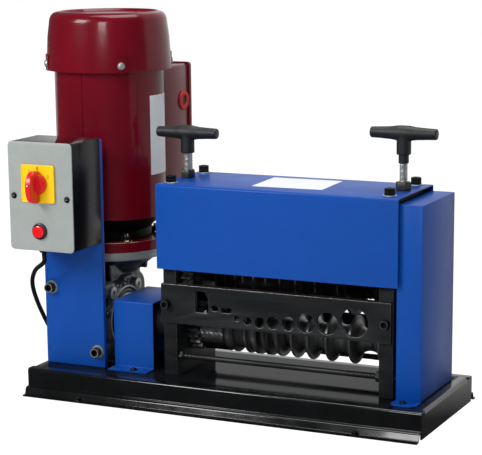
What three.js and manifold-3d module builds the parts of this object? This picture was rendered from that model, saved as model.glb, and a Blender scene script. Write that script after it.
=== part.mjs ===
// Motor-driven bench machine that strips cable: a worm gearbox under an upright motor turns a grooved
// feed roller, and circular knives above it slit the cable that a drilled guide plate leads in.
// Millimetres, +Z up, the operator stands at -Y and +X is to the operator's right.

import * as THREE from "three";
import { mergeVertices } from "three/addons/utils/BufferGeometryUtils.js";
import Module from "manifold-3d";

const wasm = await Module();
wasm.setup();

// General fits
const FIT = 0.3; // gap between pieces that seat in one another
const RUNNING = 0.5; // gap round a shaft that turns in its bore
const SHEET = 2; // folded sheet steel
const SIDES = 16; // facets of a round piece, unless it says otherwise
const WIDE = 32; // facets of the motor's round pieces

// Base, a pressed pan with a flange along its front and rear
const BASE = { x0: -243, pastCover: 20.5, y0: -47, y1: 219, top: 48, sheet: 3, bend: 6, lift: 1.5, play: 0.8 };
const LIP = { ledge: 14, ledgeOut: 9, foot: 9, reach: 22 };
const RAIL_TOP = 18; // width of a rail's top flange, which the deck plate meets

// Upright column plate and the gearbox bolted behind it
const COLUMN = { x0: -234, width: 120, y0: 8, thick: 10, top: 461 };
const COLUMN_BOLTS = { dx: 46, dz: 56, z: 133, thread: 6 };
const DRIVE_X = COLUMN.x0 + COLUMN.width / 2; // motor axis, central on the column plate

// Shafts: the roller below, the knives above
const AXIS_Y = 92;
const ROLLER_Z = 125;
const JOURNAL = 17.5; // radius of both shafts in their bearings
const GEAR_MODULE = 4;
const FEED_TEETH = 20;
const BLADE_TEETH = 32;
const GEAR_FACE = 20;
const GEAR_GAP = 4; // from the left side plate to the gears
const BLADE_Z = ROLLER_Z + (GEAR_MODULE * (FEED_TEETH + BLADE_TEETH)) / 2;
const LIFT = 4; // travel of the knife shaft
const BACKLASH = 0.5;

// Frame side plates
const FRAME = { x0: 5, y0: 14, thick: 25, depth: 154 };
const REST_BAR = { bottom: 103, top: 153.5, thick: 6, fromRear: 2 }; // the stripped cable leaves over it
const FRAME_TIE = { fromFront: 12, fromRear: 18, z: 81.5, radius: 5, nutFlats: 17, nut: 8, proud: 4 };

// Lanes of the cables from left to right: three flat ones, then round ones from a to h
const WIDTHS = { tall: 25, small: 13.5, wide: 22, a: 11, b: 14.5, c: 19, d: 23, e: 24.5, f: 33, g: 38.5, h: 50 };
const FLOORS = { tall: 167.2, small: 172.2, wide: 170.6, a: 158, b: 153, c: 150, d: 150, e: 150, f: 150, g: 150, h: 150 };
const HEIGHTS = { tall: 38, small: 10, wide: 9.7 };
const CORNERS = { tall: 3, small: 4.5, wide: 4.5 };
// Metal left of each lane, back to the lane before it or to the left side plate
const GAPS = { tall: 41.2, small: 5.45, wide: 4.55, a: 3.8, b: 7.75, c: 5.75, d: 4, e: 4.75, f: 3.75, g: 3.25, h: 4.75 };
const LAST_GAP = 16.5; // from the last lane to the right side plate
// Grooves of the feed roller that differ from their lane: depth under a flat lane, width under a round one
const FLAT_DEPTHS = { small: 2.5, wide: 8 };
const GROOVE_WIDTHS = { a: 10, b: 11, c: 13, f: 30 };
const DEEPEST_GROOVE = 7.5; // how far the last groove goes below its lane

const FRAME_LEFT = FRAME.x0 + FRAME.thick; // inner face of the left plate
const laneList = Object.keys(WIDTHS).reduce((lanes, name) => {
  const width = WIDTHS[name];
  const start = (lanes.length ? lanes.at(-1).end : FRAME_LEFT) + GAPS[name];
  const height = HEIGHTS[name] ?? width;
  const lane = { name, width, height, floor: FLOORS[name], x: start + width / 2, end: start + width };
  return [...lanes, lane];
}, []);
const flatLanes = laneList.filter(({ name }) => name in HEIGHTS);
const roundLanes = laneList.filter(({ name }) => !(name in HEIGHTS));
const FRAME_RIGHT = laneList.at(-1).end + LAST_GAP; // inner face of the right plate

// Sheet housing over the knives, and the tall cover at the right end
const HOUSING = { x0: 0, beyond: 12.5, behind: 5, bottom: 241, top: 390, bend: 3 };
const FRAME_REAR = FRAME.y0 + FRAME.depth;
const HOUSING_END = FRAME_RIGHT + FRAME.thick + HOUSING.beyond;
const COVER = { under: 5, width: 44.5, y0: 8, behind: 2.5, top: 379.5, foot: 32, clip: 8, rearFoot: 20 };
const FOOT_SCREW = 3.2; // radius of the holes in the sheet feet
const BASE_END = HOUSING_END - COVER.under + COVER.width + BASE.pastCover;

// Guide plate
const GUIDE = { thick: 8, bottom: 144, top: 213.7, overlap: 1 };
const GUIDE_SCREW = { inset: 10, z: 178, thread: 5, head: 8, height: 9, washer: 8.5, grip: 12 };

// Feed roller
const ROLLER = { margin: 26.5, endGap: 9.5, radius: 41.6, bevel: 1.5, grooveEase: 1, tail: 54, beyond: 40.5 };

// Knives, with drums between them that nearly meet the feed roller
const KNIFE = { thick: 2.5, bite: 1.5, drumGap: 2.4 };

// Bearing blocks that slide in the side plates
const BLOCK = { width: 59.4, height: 60, lip: 3.2, lipWidth: 70 };

// Adjusting screws with their handles
const ADJUST = { radius: 7, nutFlats: 24, nut: 14.4, pocket: 10 };
const GRIP = { length: 117, end: 9.3, middle: 13, stem: 12.3, stemDrop: 36 };
const GRIP_LEFT_Z = 470;
const GRIP_RIGHT_Z = 486;
const GRIP_COLLAR = { radius: 8.7, length: 14 };
const CAP_SCREW = { thread: 6, head: 9, height: 12, washer: 12, fromFront: 13, fromRear: 13 };

// Motor, measured upwards from the floor
const MOTOR = { y: 157, radius: 100, wall: 4, bottom: 306, top: 590, flangeTop: 265, flange: 19, shield: 8 };
const COWL = { radius: 114.5, height: 104, lap: 17, crown: 107.5, shoulder: 20, wall: 2, dish: 87, sunk: 5, padGap: 1.5 };
const COWL_PAD = { width: 16, angle: -50 }; // the cowl is screwed to four pads on the motor
const COWL_BOTTOM = MOTOR.top - COWL.lap;
const COWL_TOP = COWL_BOTTOM + COWL.height;
const SHAFT = { radius: 12, pastFan: 4, coreRadius: 59.5, core0: 365, core1: 515 };
const FAN = { radius: 88, hub: 22, rise: 10, headroom: 41, disc: 3, blades: 7, blade: 3 };
const FAN_BOTTOM = MOTOR.top + FAN.rise;
const FAN_TOP = COWL_TOP - FAN.headroom;
const ADAPTER = 15; // thickness of the aluminium adapter plate
const FLANGE_STUDS = { circle: 83, radius: 5, flats: 18, nut: 9, rise: 15 };
const TERMINAL = { width: 130, rear: 347, bottom: 338, top: 569, wall: 2.5, lid: 14, proud: 2 };
const GROMMET = { y: 326, z: 500, radius: 18.5, bore: 9.5, proud: 3 };

// Worm gearbox
const GEARBOX = { halfWidth: 56, bottom: 64, top: 196, rear: 190, corner: 26, wall: 10, neck: 48 };
const GEARBOX_RING = { radius: 52, proud: 5, collar: 30, collarProud: 12 }; // round the output shaft
const GEARBOX_EYE = { radius: 12, bore: 5, y: 46, up: 53 }; // lifting eyes beside the ring
const GEARBOX_LUG = { half: 13, depth: 22 }; // lugs that the column's screws go into
const GEARBOX_COVER = { flange: 12, cap: 28, flat: 24, proud: 12, rim: 4, spigot: 6, wall: 6 };
const WORM_DISTANCE = MOTOR.y - AXIS_Y;
const WORM = { pitch: 18, root: 14, height: 7, turns: 3, wheelTeeth: 30, face: 20 };
const OUTPUT = { radius: 16, end: -60 };
const COUPLING = { radius: 27, x0: -92, x1: -20 };
const GUARD = { x0: -103, x1: -24, y0: 26, y1: 158, top: 171, foot: 28, rearFoot: 20, clip: 12 };

// Control box
const CONTROL = { pastColumn: 1, width: 128, front: -90.5, bottom: 275, top: 465.5, panel: 2.5, corner: 8 };
const CONTROL_X0 = COLUMN.x0 + COLUMN.width + CONTROL.pastColumn - CONTROL.width;
const SWITCH = { fromLeft: 61, z: 393.5, side: 66, plate: 4, disc: 20, rim: 8, grip: 28, depth: 34, fin: 9, stem: 5 };
const LAMP = { z: 310, bezel: 14.5, lens: 11.5, proud: 6, dome: 4, stem: 8 };
const GLAND = { fromLeft: 36, y: -40, flats: 20, drop: 9, tail: 5 };
const SWITCH_X = CONTROL_X0 + SWITCH.fromLeft;
const GLAND_X = CONTROL_X0 + GLAND.fromLeft;
const CORD = { radius: 4, sides: 8, steps: 46 };
const TERMINAL_ENTRY_Y = 300; // where the cord enters the floor of the terminal box

const COLOURS = {
  blue: 0x1a50b0, black: 0x0c0c0e, wine: 0x7a0a1c, panel: 0xa3a8ac, yellow: 0xf7b500,
  red: 0xe01020, steel: 0x6f7072, dark: 0x232427, zinc: 0xb4b5b0, cast: 0x17181a,
  grip: 0x141517, alloy: 0x8c9091, bronze: 0x9a7a45,
};

// Solids

function withoutCollapsed(index) {
  const kept = [];
  for (let i = 0; i < index.length; i += 3) {
    const [a, b, c] = [index[i], index[i + 1], index[i + 2]];
    if (a !== b && b !== c && c !== a) kept.push(a, b, c);
  }
  return kept;
}

function solidOf(geometry) {
  const bare = geometry.clone();
  bare.deleteAttribute("normal");
  bare.deleteAttribute("uv");
  const merged = mergeVertices(bare, 1e-4);
  const index = withoutCollapsed(merged.index.array);
  const vertProperties = merged.attributes.position.array;
  const made = (triVerts) => new wasm.Manifold(new wasm.Mesh({ numProp: 3, vertProperties, triVerts }));
  const solid = made(new Uint32Array(index));
  return solid.volume() > 0 ? solid : made(new Uint32Array(index.reverse()));
}

function geometryOf(solid) {
  const { vertProperties, triVerts } = solid.getMesh();
  const geometry = new THREE.BufferGeometry();
  geometry.setAttribute("position", new THREE.BufferAttribute(vertProperties, 3));
  geometry.setIndex(new THREE.BufferAttribute(triVerts, 1));
  geometry.computeVertexNormals();
  return geometry;
}

function joined(...solids) {
  return solids.reduce((all, one) => all.add(one));
}

function cut(solid, ...tools) {
  return tools.reduce((left, tool) => left.subtract(tool), solid);
}

function block([x0, x1], [y0, y1], [z0, z1]) {
  const geometry = new THREE.BoxGeometry(x1 - x0, y1 - y0, z1 - z0);
  geometry.translate((x0 + x1) / 2, (y0 + y1) / 2, (z0 + z1) / 2);
  return solidOf(geometry);
}

// Turns a geometry that stands along Y so that it lies along the named axis.
function along(axis, geometry) {
  if (axis === "x") geometry.rotateZ(-Math.PI / 2);
  if (axis === "z") geometry.rotateX(Math.PI / 2);
  return geometry;
}

// A round bar along an axis; centre is its place across that axis, in the order x, y, z.
function bar(axis, radius, from, to, centre = [0, 0], sides = SIDES) {
  const geometry = new THREE.CylinderGeometry(radius, radius, to - from, sides);
  geometry.translate(0, (from + to) / 2, 0);
  along(axis, geometry);
  const place = { x: [0, ...centre], y: [centre[0], 0, centre[1]], z: [...centre, 0] }[axis];
  return solidOf(geometry.translate(...place));
}

// A turned piece: its profile is a list of [radius, distance along the axis].
function turned(axis, profile, sides = SIDES) {
  const points = profile.map(([radius, height]) => new THREE.Vector2(radius, height));
  return solidOf(along(axis, new THREE.LatheGeometry(points, sides)));
}

// A shape drawn across an axis and pulled along it: (y, z) for x, (x, z) for y, (x, y) for z.
function prism(axis, shape, from, to, curveSegments = 5) {
  const geometry = new THREE.ExtrudeGeometry(shape, { depth: to - from, bevelEnabled: false, curveSegments });
  if (axis === "x") geometry.rotateX(Math.PI / 2).rotateZ(Math.PI / 2).translate(from, 0, 0);
  if (axis === "y") geometry.rotateX(Math.PI / 2).translate(0, to, 0);
  if (axis === "z") geometry.translate(0, 0, from);
  return solidOf(geometry);
}

function roundedRectangle(x0, x1, y0, y1, corner) {
  const shape = new THREE.Shape();
  shape.moveTo(x0 + corner, y0);
  shape.lineTo(x1 - corner, y0);
  shape.absarc(x1 - corner, y0 + corner, corner, -Math.PI / 2, 0);
  shape.lineTo(x1, y1 - corner);
  shape.absarc(x1 - corner, y1 - corner, corner, 0, Math.PI / 2);
  shape.lineTo(x0 + corner, y1);
  shape.absarc(x0 + corner, y1 - corner, corner, Math.PI / 2, Math.PI);
  shape.lineTo(x0, y0 + corner);
  shape.absarc(x0 + corner, y0 + corner, corner, Math.PI, 1.5 * Math.PI);
  return shape;
}

function hexagon(flats, x = 0, y = 0) {
  const corner = (k) => {
    const angle = (k * Math.PI) / 3;
    const reach = flats / Math.sqrt(3);
    return new THREE.Vector2(x + reach * Math.cos(angle), y + reach * Math.sin(angle));
  };
  return new THREE.Shape([0, 1, 2, 3, 4, 5].map(corner));
}

// The points of a bend that rounds the corner between two straight runs of a sheet.
function bendPoints(before, corner, after, radius) {
  const arriving = corner.clone().sub(before).normalize();
  const leaving = after.clone().sub(corner).normalize();
  const turn = arriving.angleTo(leaving);
  const back = radius * Math.tan(turn / 2);
  const start = corner.clone().addScaledVector(arriving, -back);
  const end = corner.clone().addScaledVector(leaving, back);
  const bow = new THREE.QuadraticBezierCurve(start, corner, end);
  return bow.getPoints(3);
}

// The outline of a folded sheet from its middle line, with round bends.
function foldedSheet(path, thickness, bend) {
  const corners = path.map(([a, b]) => new THREE.Vector2(a, b));
  const last = corners.length - 1;
  const line = corners.flatMap((corner, k) =>
    k === 0 || k === last ? [corner] : bendPoints(corners[k - 1], corner, corners[k + 1], bend),
  );
  const sideOf = (k) => {
    const from = line[Math.max(k - 1, 0)];
    const to = line[Math.min(k + 1, line.length - 1)];
    const way = to.clone().sub(from).normalize();
    return new THREE.Vector2(-way.y, way.x).multiplyScalar(thickness / 2);
  };
  const left = line.map((point, k) => point.clone().add(sideOf(k)));
  const right = line.map((point, k) => point.clone().sub(sideOf(k)));
  return new THREE.Shape([...left, ...right.reverse()]);
}

// A socket head screw with its washer: the seat is at 0, the head stands up +Z, the shank goes down.
function capScrew({ thread, head, height, washer, shank }) {
  const disc = 1.5;
  const body = joined(
    bar("z", head, disc / 2, disc + height, [0, 0], 12),
    bar("z", washer, 0, disc, [0, 0], 12),
    bar("z", thread, -shank, disc / 2, [0, 0], 8),
  );
  return cut(body, prism("z", hexagon(head), disc + height * 0.5, disc + height + 1));
}

// Gears

const involute = (angle) => Math.tan(angle) - angle;

// The outline of a spur gear with one tooth centred on the angle first.
function gearShape(teeth, module, first, slack, straight = false) {
  const pitch = (teeth * module) / 2;
  const root = pitch - 1.25 * module;
  const tip = pitch + module;
  const pressure = THREE.MathUtils.degToRad(20);
  const base = pitch * Math.cos(pressure);
  const atPitch = Math.PI / (2 * teeth) - slack / (2 * pitch) + involute(pressure);
  const halfAngle = (radius) => atPitch - involute(Math.acos(Math.min(base / radius, 1)));
  const flank = straight ? [root, tip] : [root, pitch, tip];
  const points = [];
  for (let k = 0; k < teeth; k += 1) {
    const middle = first + (k * 2 * Math.PI) / teeth;
    const place = (radius, angle) => new THREE.Vector2(radius * Math.cos(angle), radius * Math.sin(angle));
    points.push(...flank.map((radius) => place(radius, middle - halfAngle(radius))));
    points.push(...[...flank].reverse().map((radius) => place(radius, middle + halfAngle(radius))));
  }
  return new THREE.Shape(points);
}

// A worm along Z, with its thread's crest on the side towards -Y at height 0.
function wormThread(lead) {
  const around = 12;
  const perTurn = 6;
  const rows = WORM.turns * perTurn;
  const positions = [];
  const index = [];
  const height = (row) => (row / perTurn - WORM.turns / 2) * lead;
  for (let row = 0; row <= rows; row += 1) {
    for (let k = 0; k < around; k += 1) {
      const angle = (k * 2 * Math.PI) / around;
      const phase = (2 * Math.PI * height(row)) / lead - (angle + Math.PI / 2);
      const radius = WORM.root + WORM.height * ((1 + Math.cos(phase)) / 2) ** 2;
      positions.push(radius * Math.cos(angle), radius * Math.sin(angle), height(row));
    }
  }
  const low = positions.length / 3;
  positions.push(0, 0, height(0), 0, 0, height(rows));
  for (let k = 0; k < around; k += 1) {
    const next = (k + 1) % around;
    for (let row = 0; row < rows; row += 1) {
      const [a, b] = [row * around + k, row * around + next];
      index.push(a, b, b + around, a, b + around, a + around);
    }
    index.push(low, next, k, low + 1, rows * around + k, rows * around + next);
  }
  const geometry = new THREE.BufferGeometry();
  geometry.setAttribute("position", new THREE.Float32BufferAttribute(positions, 3));
  geometry.setIndex(index);
  return solidOf(geometry);
}

// Assemblies

const machine = new THREE.Group();

function assembly(...place) {
  const group = new THREE.Group();
  group.position.set(...place);
  machine.add(group);
  return group;
}

function piece(group, name, solid, color, roughness = 0.5, metalness = 0) {
  const material = new THREE.MeshStandardMaterial({ color, roughness, metalness });
  const mesh = new THREE.Mesh(geometryOf(solid), material);
  mesh.name = name;
  group.add(mesh);
  return mesh;
}

// Base

function railSection(side) {
  const half = BASE.sheet / 2;
  const wall = side < 0 ? BASE.y0 + half : BASE.y1 - half;
  const out = (distance) => wall + side * distance;
  return foldedSheet(
    [
      [out(half - RAIL_TOP), BASE.top - half],
      [wall, BASE.top - half],
      [wall, LIP.ledge],
      [out(LIP.ledgeOut), LIP.ledge],
      [out(LIP.reach - LIP.foot), half],
      [out(LIP.reach), half],
    ],
    BASE.sheet,
    BASE.bend / 2,
  );
}

function endSection(side) {
  const half = BASE.sheet / 2;
  const wall = side < 0 ? BASE.x0 + half : BASE_END - half;
  const path = [
    [wall - side * (RAIL_TOP - half), BASE.top - half],
    [wall, BASE.top - half],
    [wall, BASE.lift],
  ];
  const within = [BASE.y0 + RAIL_TOP, BASE.y1 - RAIL_TOP];
  const middle = prism("y", foldedSheet(path, BASE.sheet, BASE.bend), ...within);
  // The wall goes on under the rails' top flanges, up to their walls.
  const under = BASE.sheet + BASE.play;
  const across = [wall - half, wall + half];
  const height = [BASE.lift, BASE.top - under];
  const front = block(across, [BASE.y0 + under, within[0] + 1], height);
  const rear = block(across, [within[1] - 1, BASE.y1 - under], height);
  return joined(middle, front, rear);
}

function buildBase() {
  const group = assembly(0, 0, 0);
  const within = [BASE.y0 + RAIL_TOP, BASE.y1 - RAIL_TOP];
  const deck = block([BASE.x0 + RAIL_TOP, BASE_END - RAIL_TOP], within, [BASE.top - BASE.sheet, BASE.top]);
  piece(group, "base_deck", deck, COLOURS.black, 0.15);
  const rails = { front_rail: -1, rear_rail: 1 };
  for (const [name, side] of Object.entries(rails))
    piece(group, name, prism("x", railSection(side), BASE.x0, BASE_END), COLOURS.black, 0.15);
  const ends = { base_end_left: -1, base_end_right: 1 };
  for (const [name, side] of Object.entries(ends))
    piece(group, name, endSection(side), COLOURS.black, 0.15);
}

// Column plate

const columnRear = COLUMN.y0 + COLUMN.thick;

// The bolts' places on the column plate: the upper left and the lower right.
function columnBolts() {
  return [-1, 1].map((side) => [DRIVE_X + side * COLUMN_BOLTS.dx, COLUMN_BOLTS.z - side * COLUMN_BOLTS.dz]);
}

function buildColumn() {
  const group = assembly(0, 0, 0);
  const holes = columnBolts().map((at) =>
    bar("y", COLUMN_BOLTS.thread + FIT, COLUMN.y0 - 1, columnRear + 1, at, 12),
  );
  const outline = roundedRectangle(COLUMN.x0, COLUMN.x0 + COLUMN.width, BASE.top, COLUMN.top, 1);
  piece(group, "column_plate", cut(prism("y", outline, COLUMN.y0, columnRear, 1), ...holes), COLOURS.blue);
  const screw = { ...CAP_SCREW, thread: COLUMN_BOLTS.thread, shank: COLUMN.thick + 8 };
  columnBolts().forEach(([x, z], k) => {
    const name = ["column_bolt_upper", "column_bolt_lower"][k];
    const bolt = piece(group, name, capScrew(screw), COLOURS.dark, 0.4, 0.8);
    bolt.rotation.x = Math.PI / 2;
    bolt.position.set(x, COLUMN.y0, z);
  });
}

// Control box, with its parts placed from the panel's front face

function buildControl() {
  const group = assembly(0, CONTROL.front, 0);
  const x1 = CONTROL_X0 + CONTROL.width;
  const rear = COLUMN.y0 - CONTROL.front;
  const inset = 1;
  const outer = roundedRectangle(CONTROL_X0 + inset, x1 - inset, CONTROL.bottom + inset, CONTROL.top - inset, 3);
  const inner = [CONTROL_X0 + inset + SHEET, x1 - inset - SHEET];
  const cavity = block(inner, [0, rear - SHEET], [CONTROL.bottom + inset + SHEET, CONTROL.top - inset - SHEET]);
  const entry = bar("z", CORD.radius + 4, CONTROL.bottom - 1, CONTROL.bottom + 9, [GLAND_X, GLAND.y - CONTROL.front]);
  const shell = cut(prism("y", outer, CONTROL.panel, rear, 3), cavity, entry);
  piece(group, "control_box", shell, COLOURS.black, 0.4);

  const outline = roundedRectangle(CONTROL_X0, x1, CONTROL.bottom, CONTROL.top, CONTROL.corner);
  const stemHole = bar("y", SWITCH.stem + 1, -1, CONTROL.panel + 1, [SWITCH_X, SWITCH.z], 16);
  const lampHole = bar("y", LAMP.stem + FIT, -1, CONTROL.panel + 1, [SWITCH_X, LAMP.z], 16);
  const panel = cut(prism("y", outline, 0, CONTROL.panel), stemHole, lampHole);
  piece(group, "control_panel", panel, COLOURS.panel, 0.4, 0.3);

  const half = SWITCH.side / 2;
  const square = roundedRectangle(SWITCH_X - half, SWITCH_X + half, SWITCH.z - half, SWITCH.z + half, 4);
  const plate = prism("y", square, -SWITCH.plate, 0);
  const plateHole = bar("y", SWITCH.stem + 1, -SWITCH.plate - 1, 1, [SWITCH_X, SWITCH.z], 16);
  piece(group, "switch_plate", cut(plate, plateHole), COLOURS.yellow, 0.35);

  const knob = piece(group, "switch_knob", switchKnob(), COLOURS.red, 0.3);
  knob.position.set(SWITCH_X, -SWITCH.plate - FIT, SWITCH.z);

  const bezel = turned("y", [
    [LAMP.lens + FIT, -LAMP.proud], [LAMP.bezel - 1, -LAMP.proud], [LAMP.bezel, 1 - LAMP.proud],
    [LAMP.bezel, 0], [LAMP.stem, 0], [LAMP.stem, 14], [LAMP.stem - 2, 14], [LAMP.stem - 2, -2],
    [LAMP.lens + FIT, -2], [LAMP.lens + FIT, -LAMP.proud],
  ], 20).translate([SWITCH_X, 0, LAMP.z]);
  piece(group, "lamp_bezel", bezel, COLOURS.dark, 0.3, 0.5);
  const dome = LAMP.proud + LAMP.dome;
  const lens = turned("y", [
    [0, -2 - FIT], [LAMP.lens, -2 - FIT], [LAMP.lens, 2 - dome], [LAMP.lens * 0.75, -dome], [0, -dome - 1],
  ], 20).translate([SWITCH_X, 0, LAMP.z]);
  piece(group, "lamp_lens", lens, COLOURS.red, 0.15);
}

// The rotary knob: a disc with a tall upright fin, bowed outwards, and the stem it turns on.
function switchKnob() {
  const { disc, rim, grip, depth, fin, stem } = SWITCH;
  const plate = turned("y", [[0, 0], [disc, 0], [disc, -rim], [disc - 3, -rim - 3], [0, -rim - 3]], 24);
  const bow = new THREE.Shape();
  bow.moveTo(-1, -grip);
  bow.lineTo(-rim, -grip);
  bow.quadraticCurveTo(-2 * depth + rim, 0, -rim, grip);
  bow.lineTo(-1, grip);
  const blade = prism("x", bow, -fin / 2, fin / 2, 8);
  return joined(plate, blade, bar("y", stem, -2, SWITCH.plate + CONTROL.panel + 6, [0, 0], 12));
}

// Cord from the control box to the motor, clear of the gearbox on its left side

function buildCord() {
  const group = assembly(0, 0, 0);
  const seat = CONTROL.bottom + 1;
  const nut = prism("z", hexagon(GLAND.flats), seat - GLAND.drop, seat);
  const tube = bar("z", CORD.radius + 3.5, seat - GLAND.drop - GLAND.tail, seat + SHEET + 6);
  const bore = bar("z", CORD.radius + FIT, seat - 40, seat + 40);
  piece(group, "box_gland", cut(joined(nut, tube), bore).translate([GLAND_X, GLAND.y, 0]), COLOURS.black, 0.5);

  const route = [
    [GLAND_X, GLAND.y, seat + 20],
    [GLAND_X, GLAND.y, seat],
    [GLAND_X, GLAND.y, seat - 18],
    [GLAND_X, GLAND.y, seat - 30],
    [-232, -28, 225],
    [-256, 0, 190],
    [-254, 26, 135],
    [-250, 60, 92],
    [-248, 130, 84],
    [-240, 215, 100],
    [-205, 275, 160],
    [DRIVE_X, TERMINAL_ENTRY_Y, 260],
    [DRIVE_X, TERMINAL_ENTRY_Y, TERMINAL.bottom - 14],
    [DRIVE_X, TERMINAL_ENTRY_Y, TERMINAL.bottom + 12],
  ].map((point) => new THREE.Vector3(...point));
  const section = new THREE.Shape(
    Array.from({ length: CORD.sides }, (_, k) => {
      const angle = (k * 2 * Math.PI) / CORD.sides;
      return new THREE.Vector2(CORD.radius * Math.cos(angle), CORD.radius * Math.sin(angle));
    }),
  );
  const extrudePath = new THREE.CatmullRomCurve3(route, false, "centripetal");
  const cord = new THREE.ExtrudeGeometry(section, { steps: CORD.steps, extrudePath });
  piece(group, "motor_lead", solidOf(cord), COLOURS.black, 0.6);
}

// Motor, built round its own axis

function motorBody() {
  const { radius, wall, bottom, top, shield } = MOTOR;
  const inner = radius - wall;
  const tube = turned("z", [
    [inner, bottom], [radius - 1, bottom], [radius, bottom + 1], [radius, top - 3], [radius - 3, top],
    [SHAFT.radius + RUNNING, top], [SHAFT.radius + RUNNING, top - shield], [inner, top - shield], [inner, bottom],
  ], WIDE);
  const { width, angle } = COWL_PAD;
  const reach = [radius - wall, COWL.radius - COWL.wall - COWL.padGap];
  const pad = block(reach, [-width / 2, width / 2], [COWL_BOTTOM + 2, top - shield]);
  const pads = [0, 1, 2, 3].map((quarter) => pad.rotate([0, 0, angle + 90 * quarter]));
  return joined(tube, ...pads);
}

function endBell() {
  const inner = MOTOR.radius - MOTOR.wall - FIT;
  const { bottom, flangeTop } = MOTOR;
  const bore = SHAFT.radius + RUNNING;
  return turned("z", [
    [bore, flangeTop], [70, flangeTop], [70, flangeTop + 18], [MOTOR.radius - 8, bottom - 6],
    [MOTOR.radius - 3, bottom], [inner, bottom], [inner, bottom + 8], [60, bottom + 8],
    [bore, flangeTop + 18], [bore, flangeTop],
  ], WIDE);
}

function fanCowl() {
  const { radius, crown, shoulder, wall, dish, sunk } = COWL;
  const [bottom, top, roof] = [COWL_BOTTOM, COWL_TOP, COWL_TOP - sunk];
  const outer = [
    [radius, bottom], [radius, bottom + 4], [crown, top - shoulder], [crown - 3, top - shoulder / 2],
    [crown - 9, top - 3], [dish + 4, top], [dish - 2, roof], [0, roof],
  ];
  const inner = [
    [0, roof - wall], [dish - 3, roof - wall], [crown - 11, roof + 1 - wall],
    [crown - wall, top - shoulder], [radius - wall, bottom + 4],
    [radius - wall, bottom], [radius, bottom],
  ];
  return turned("z", [...outer, ...inner], 28);
}

function fan() {
  const hub = turned("z", [
    [SHAFT.radius + FIT, FAN_BOTTOM], [FAN.hub, FAN_BOTTOM], [FAN.hub, FAN_TOP], [SHAFT.radius + FIT, FAN_TOP],
    [SHAFT.radius + FIT, FAN_BOTTOM],
  ], 16);
  const disc = turned("z", [
    [FAN.hub - 1, FAN_BOTTOM], [FAN.radius, FAN_BOTTOM], [FAN.radius, FAN_BOTTOM + FAN.disc],
    [FAN.hub - 1, FAN_BOTTOM + FAN.disc], [FAN.hub - 1, FAN_BOTTOM],
  ], 16);
  const blade = block([FAN.hub - 1, FAN.radius - 6], [-FAN.blade / 2, FAN.blade / 2], [FAN_BOTTOM + 1, FAN_TOP]);
  const blades = Array.from({ length: FAN.blades }, (_, k) => blade.rotate([0, 0, (k * 360) / FAN.blades]));
  return joined(hub, disc, ...blades);
}

function terminalBox() {
  const half = TERMINAL.width / 2;
  const rear = TERMINAL.rear - MOTOR.y;
  const { wall, bottom, top } = TERMINAL;
  const outline = roundedRectangle(-half, half, bottom, top, 5);
  const shell = prism("y", outline, MOTOR.radius / 2, rear, 3);
  const cavity = block([wall - half, half - wall], [0, rear + 1], [bottom + wall, top - wall]);
  const body = bar("z", MOTOR.radius + FIT, bottom - 1, top + 1, [0, 0], WIDE);
  const entry = bar("z", CORD.radius + FIT, bottom - 1, bottom + 9, [0, TERMINAL_ENTRY_Y - MOTOR.y], 16);
  const hole = bar("x", GROMMET.bore + 3, half - 9, half + 1, [GROMMET.y - MOTOR.y, GROMMET.z], 16);
  return cut(shell, cavity, body, entry, hole);
}

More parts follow.
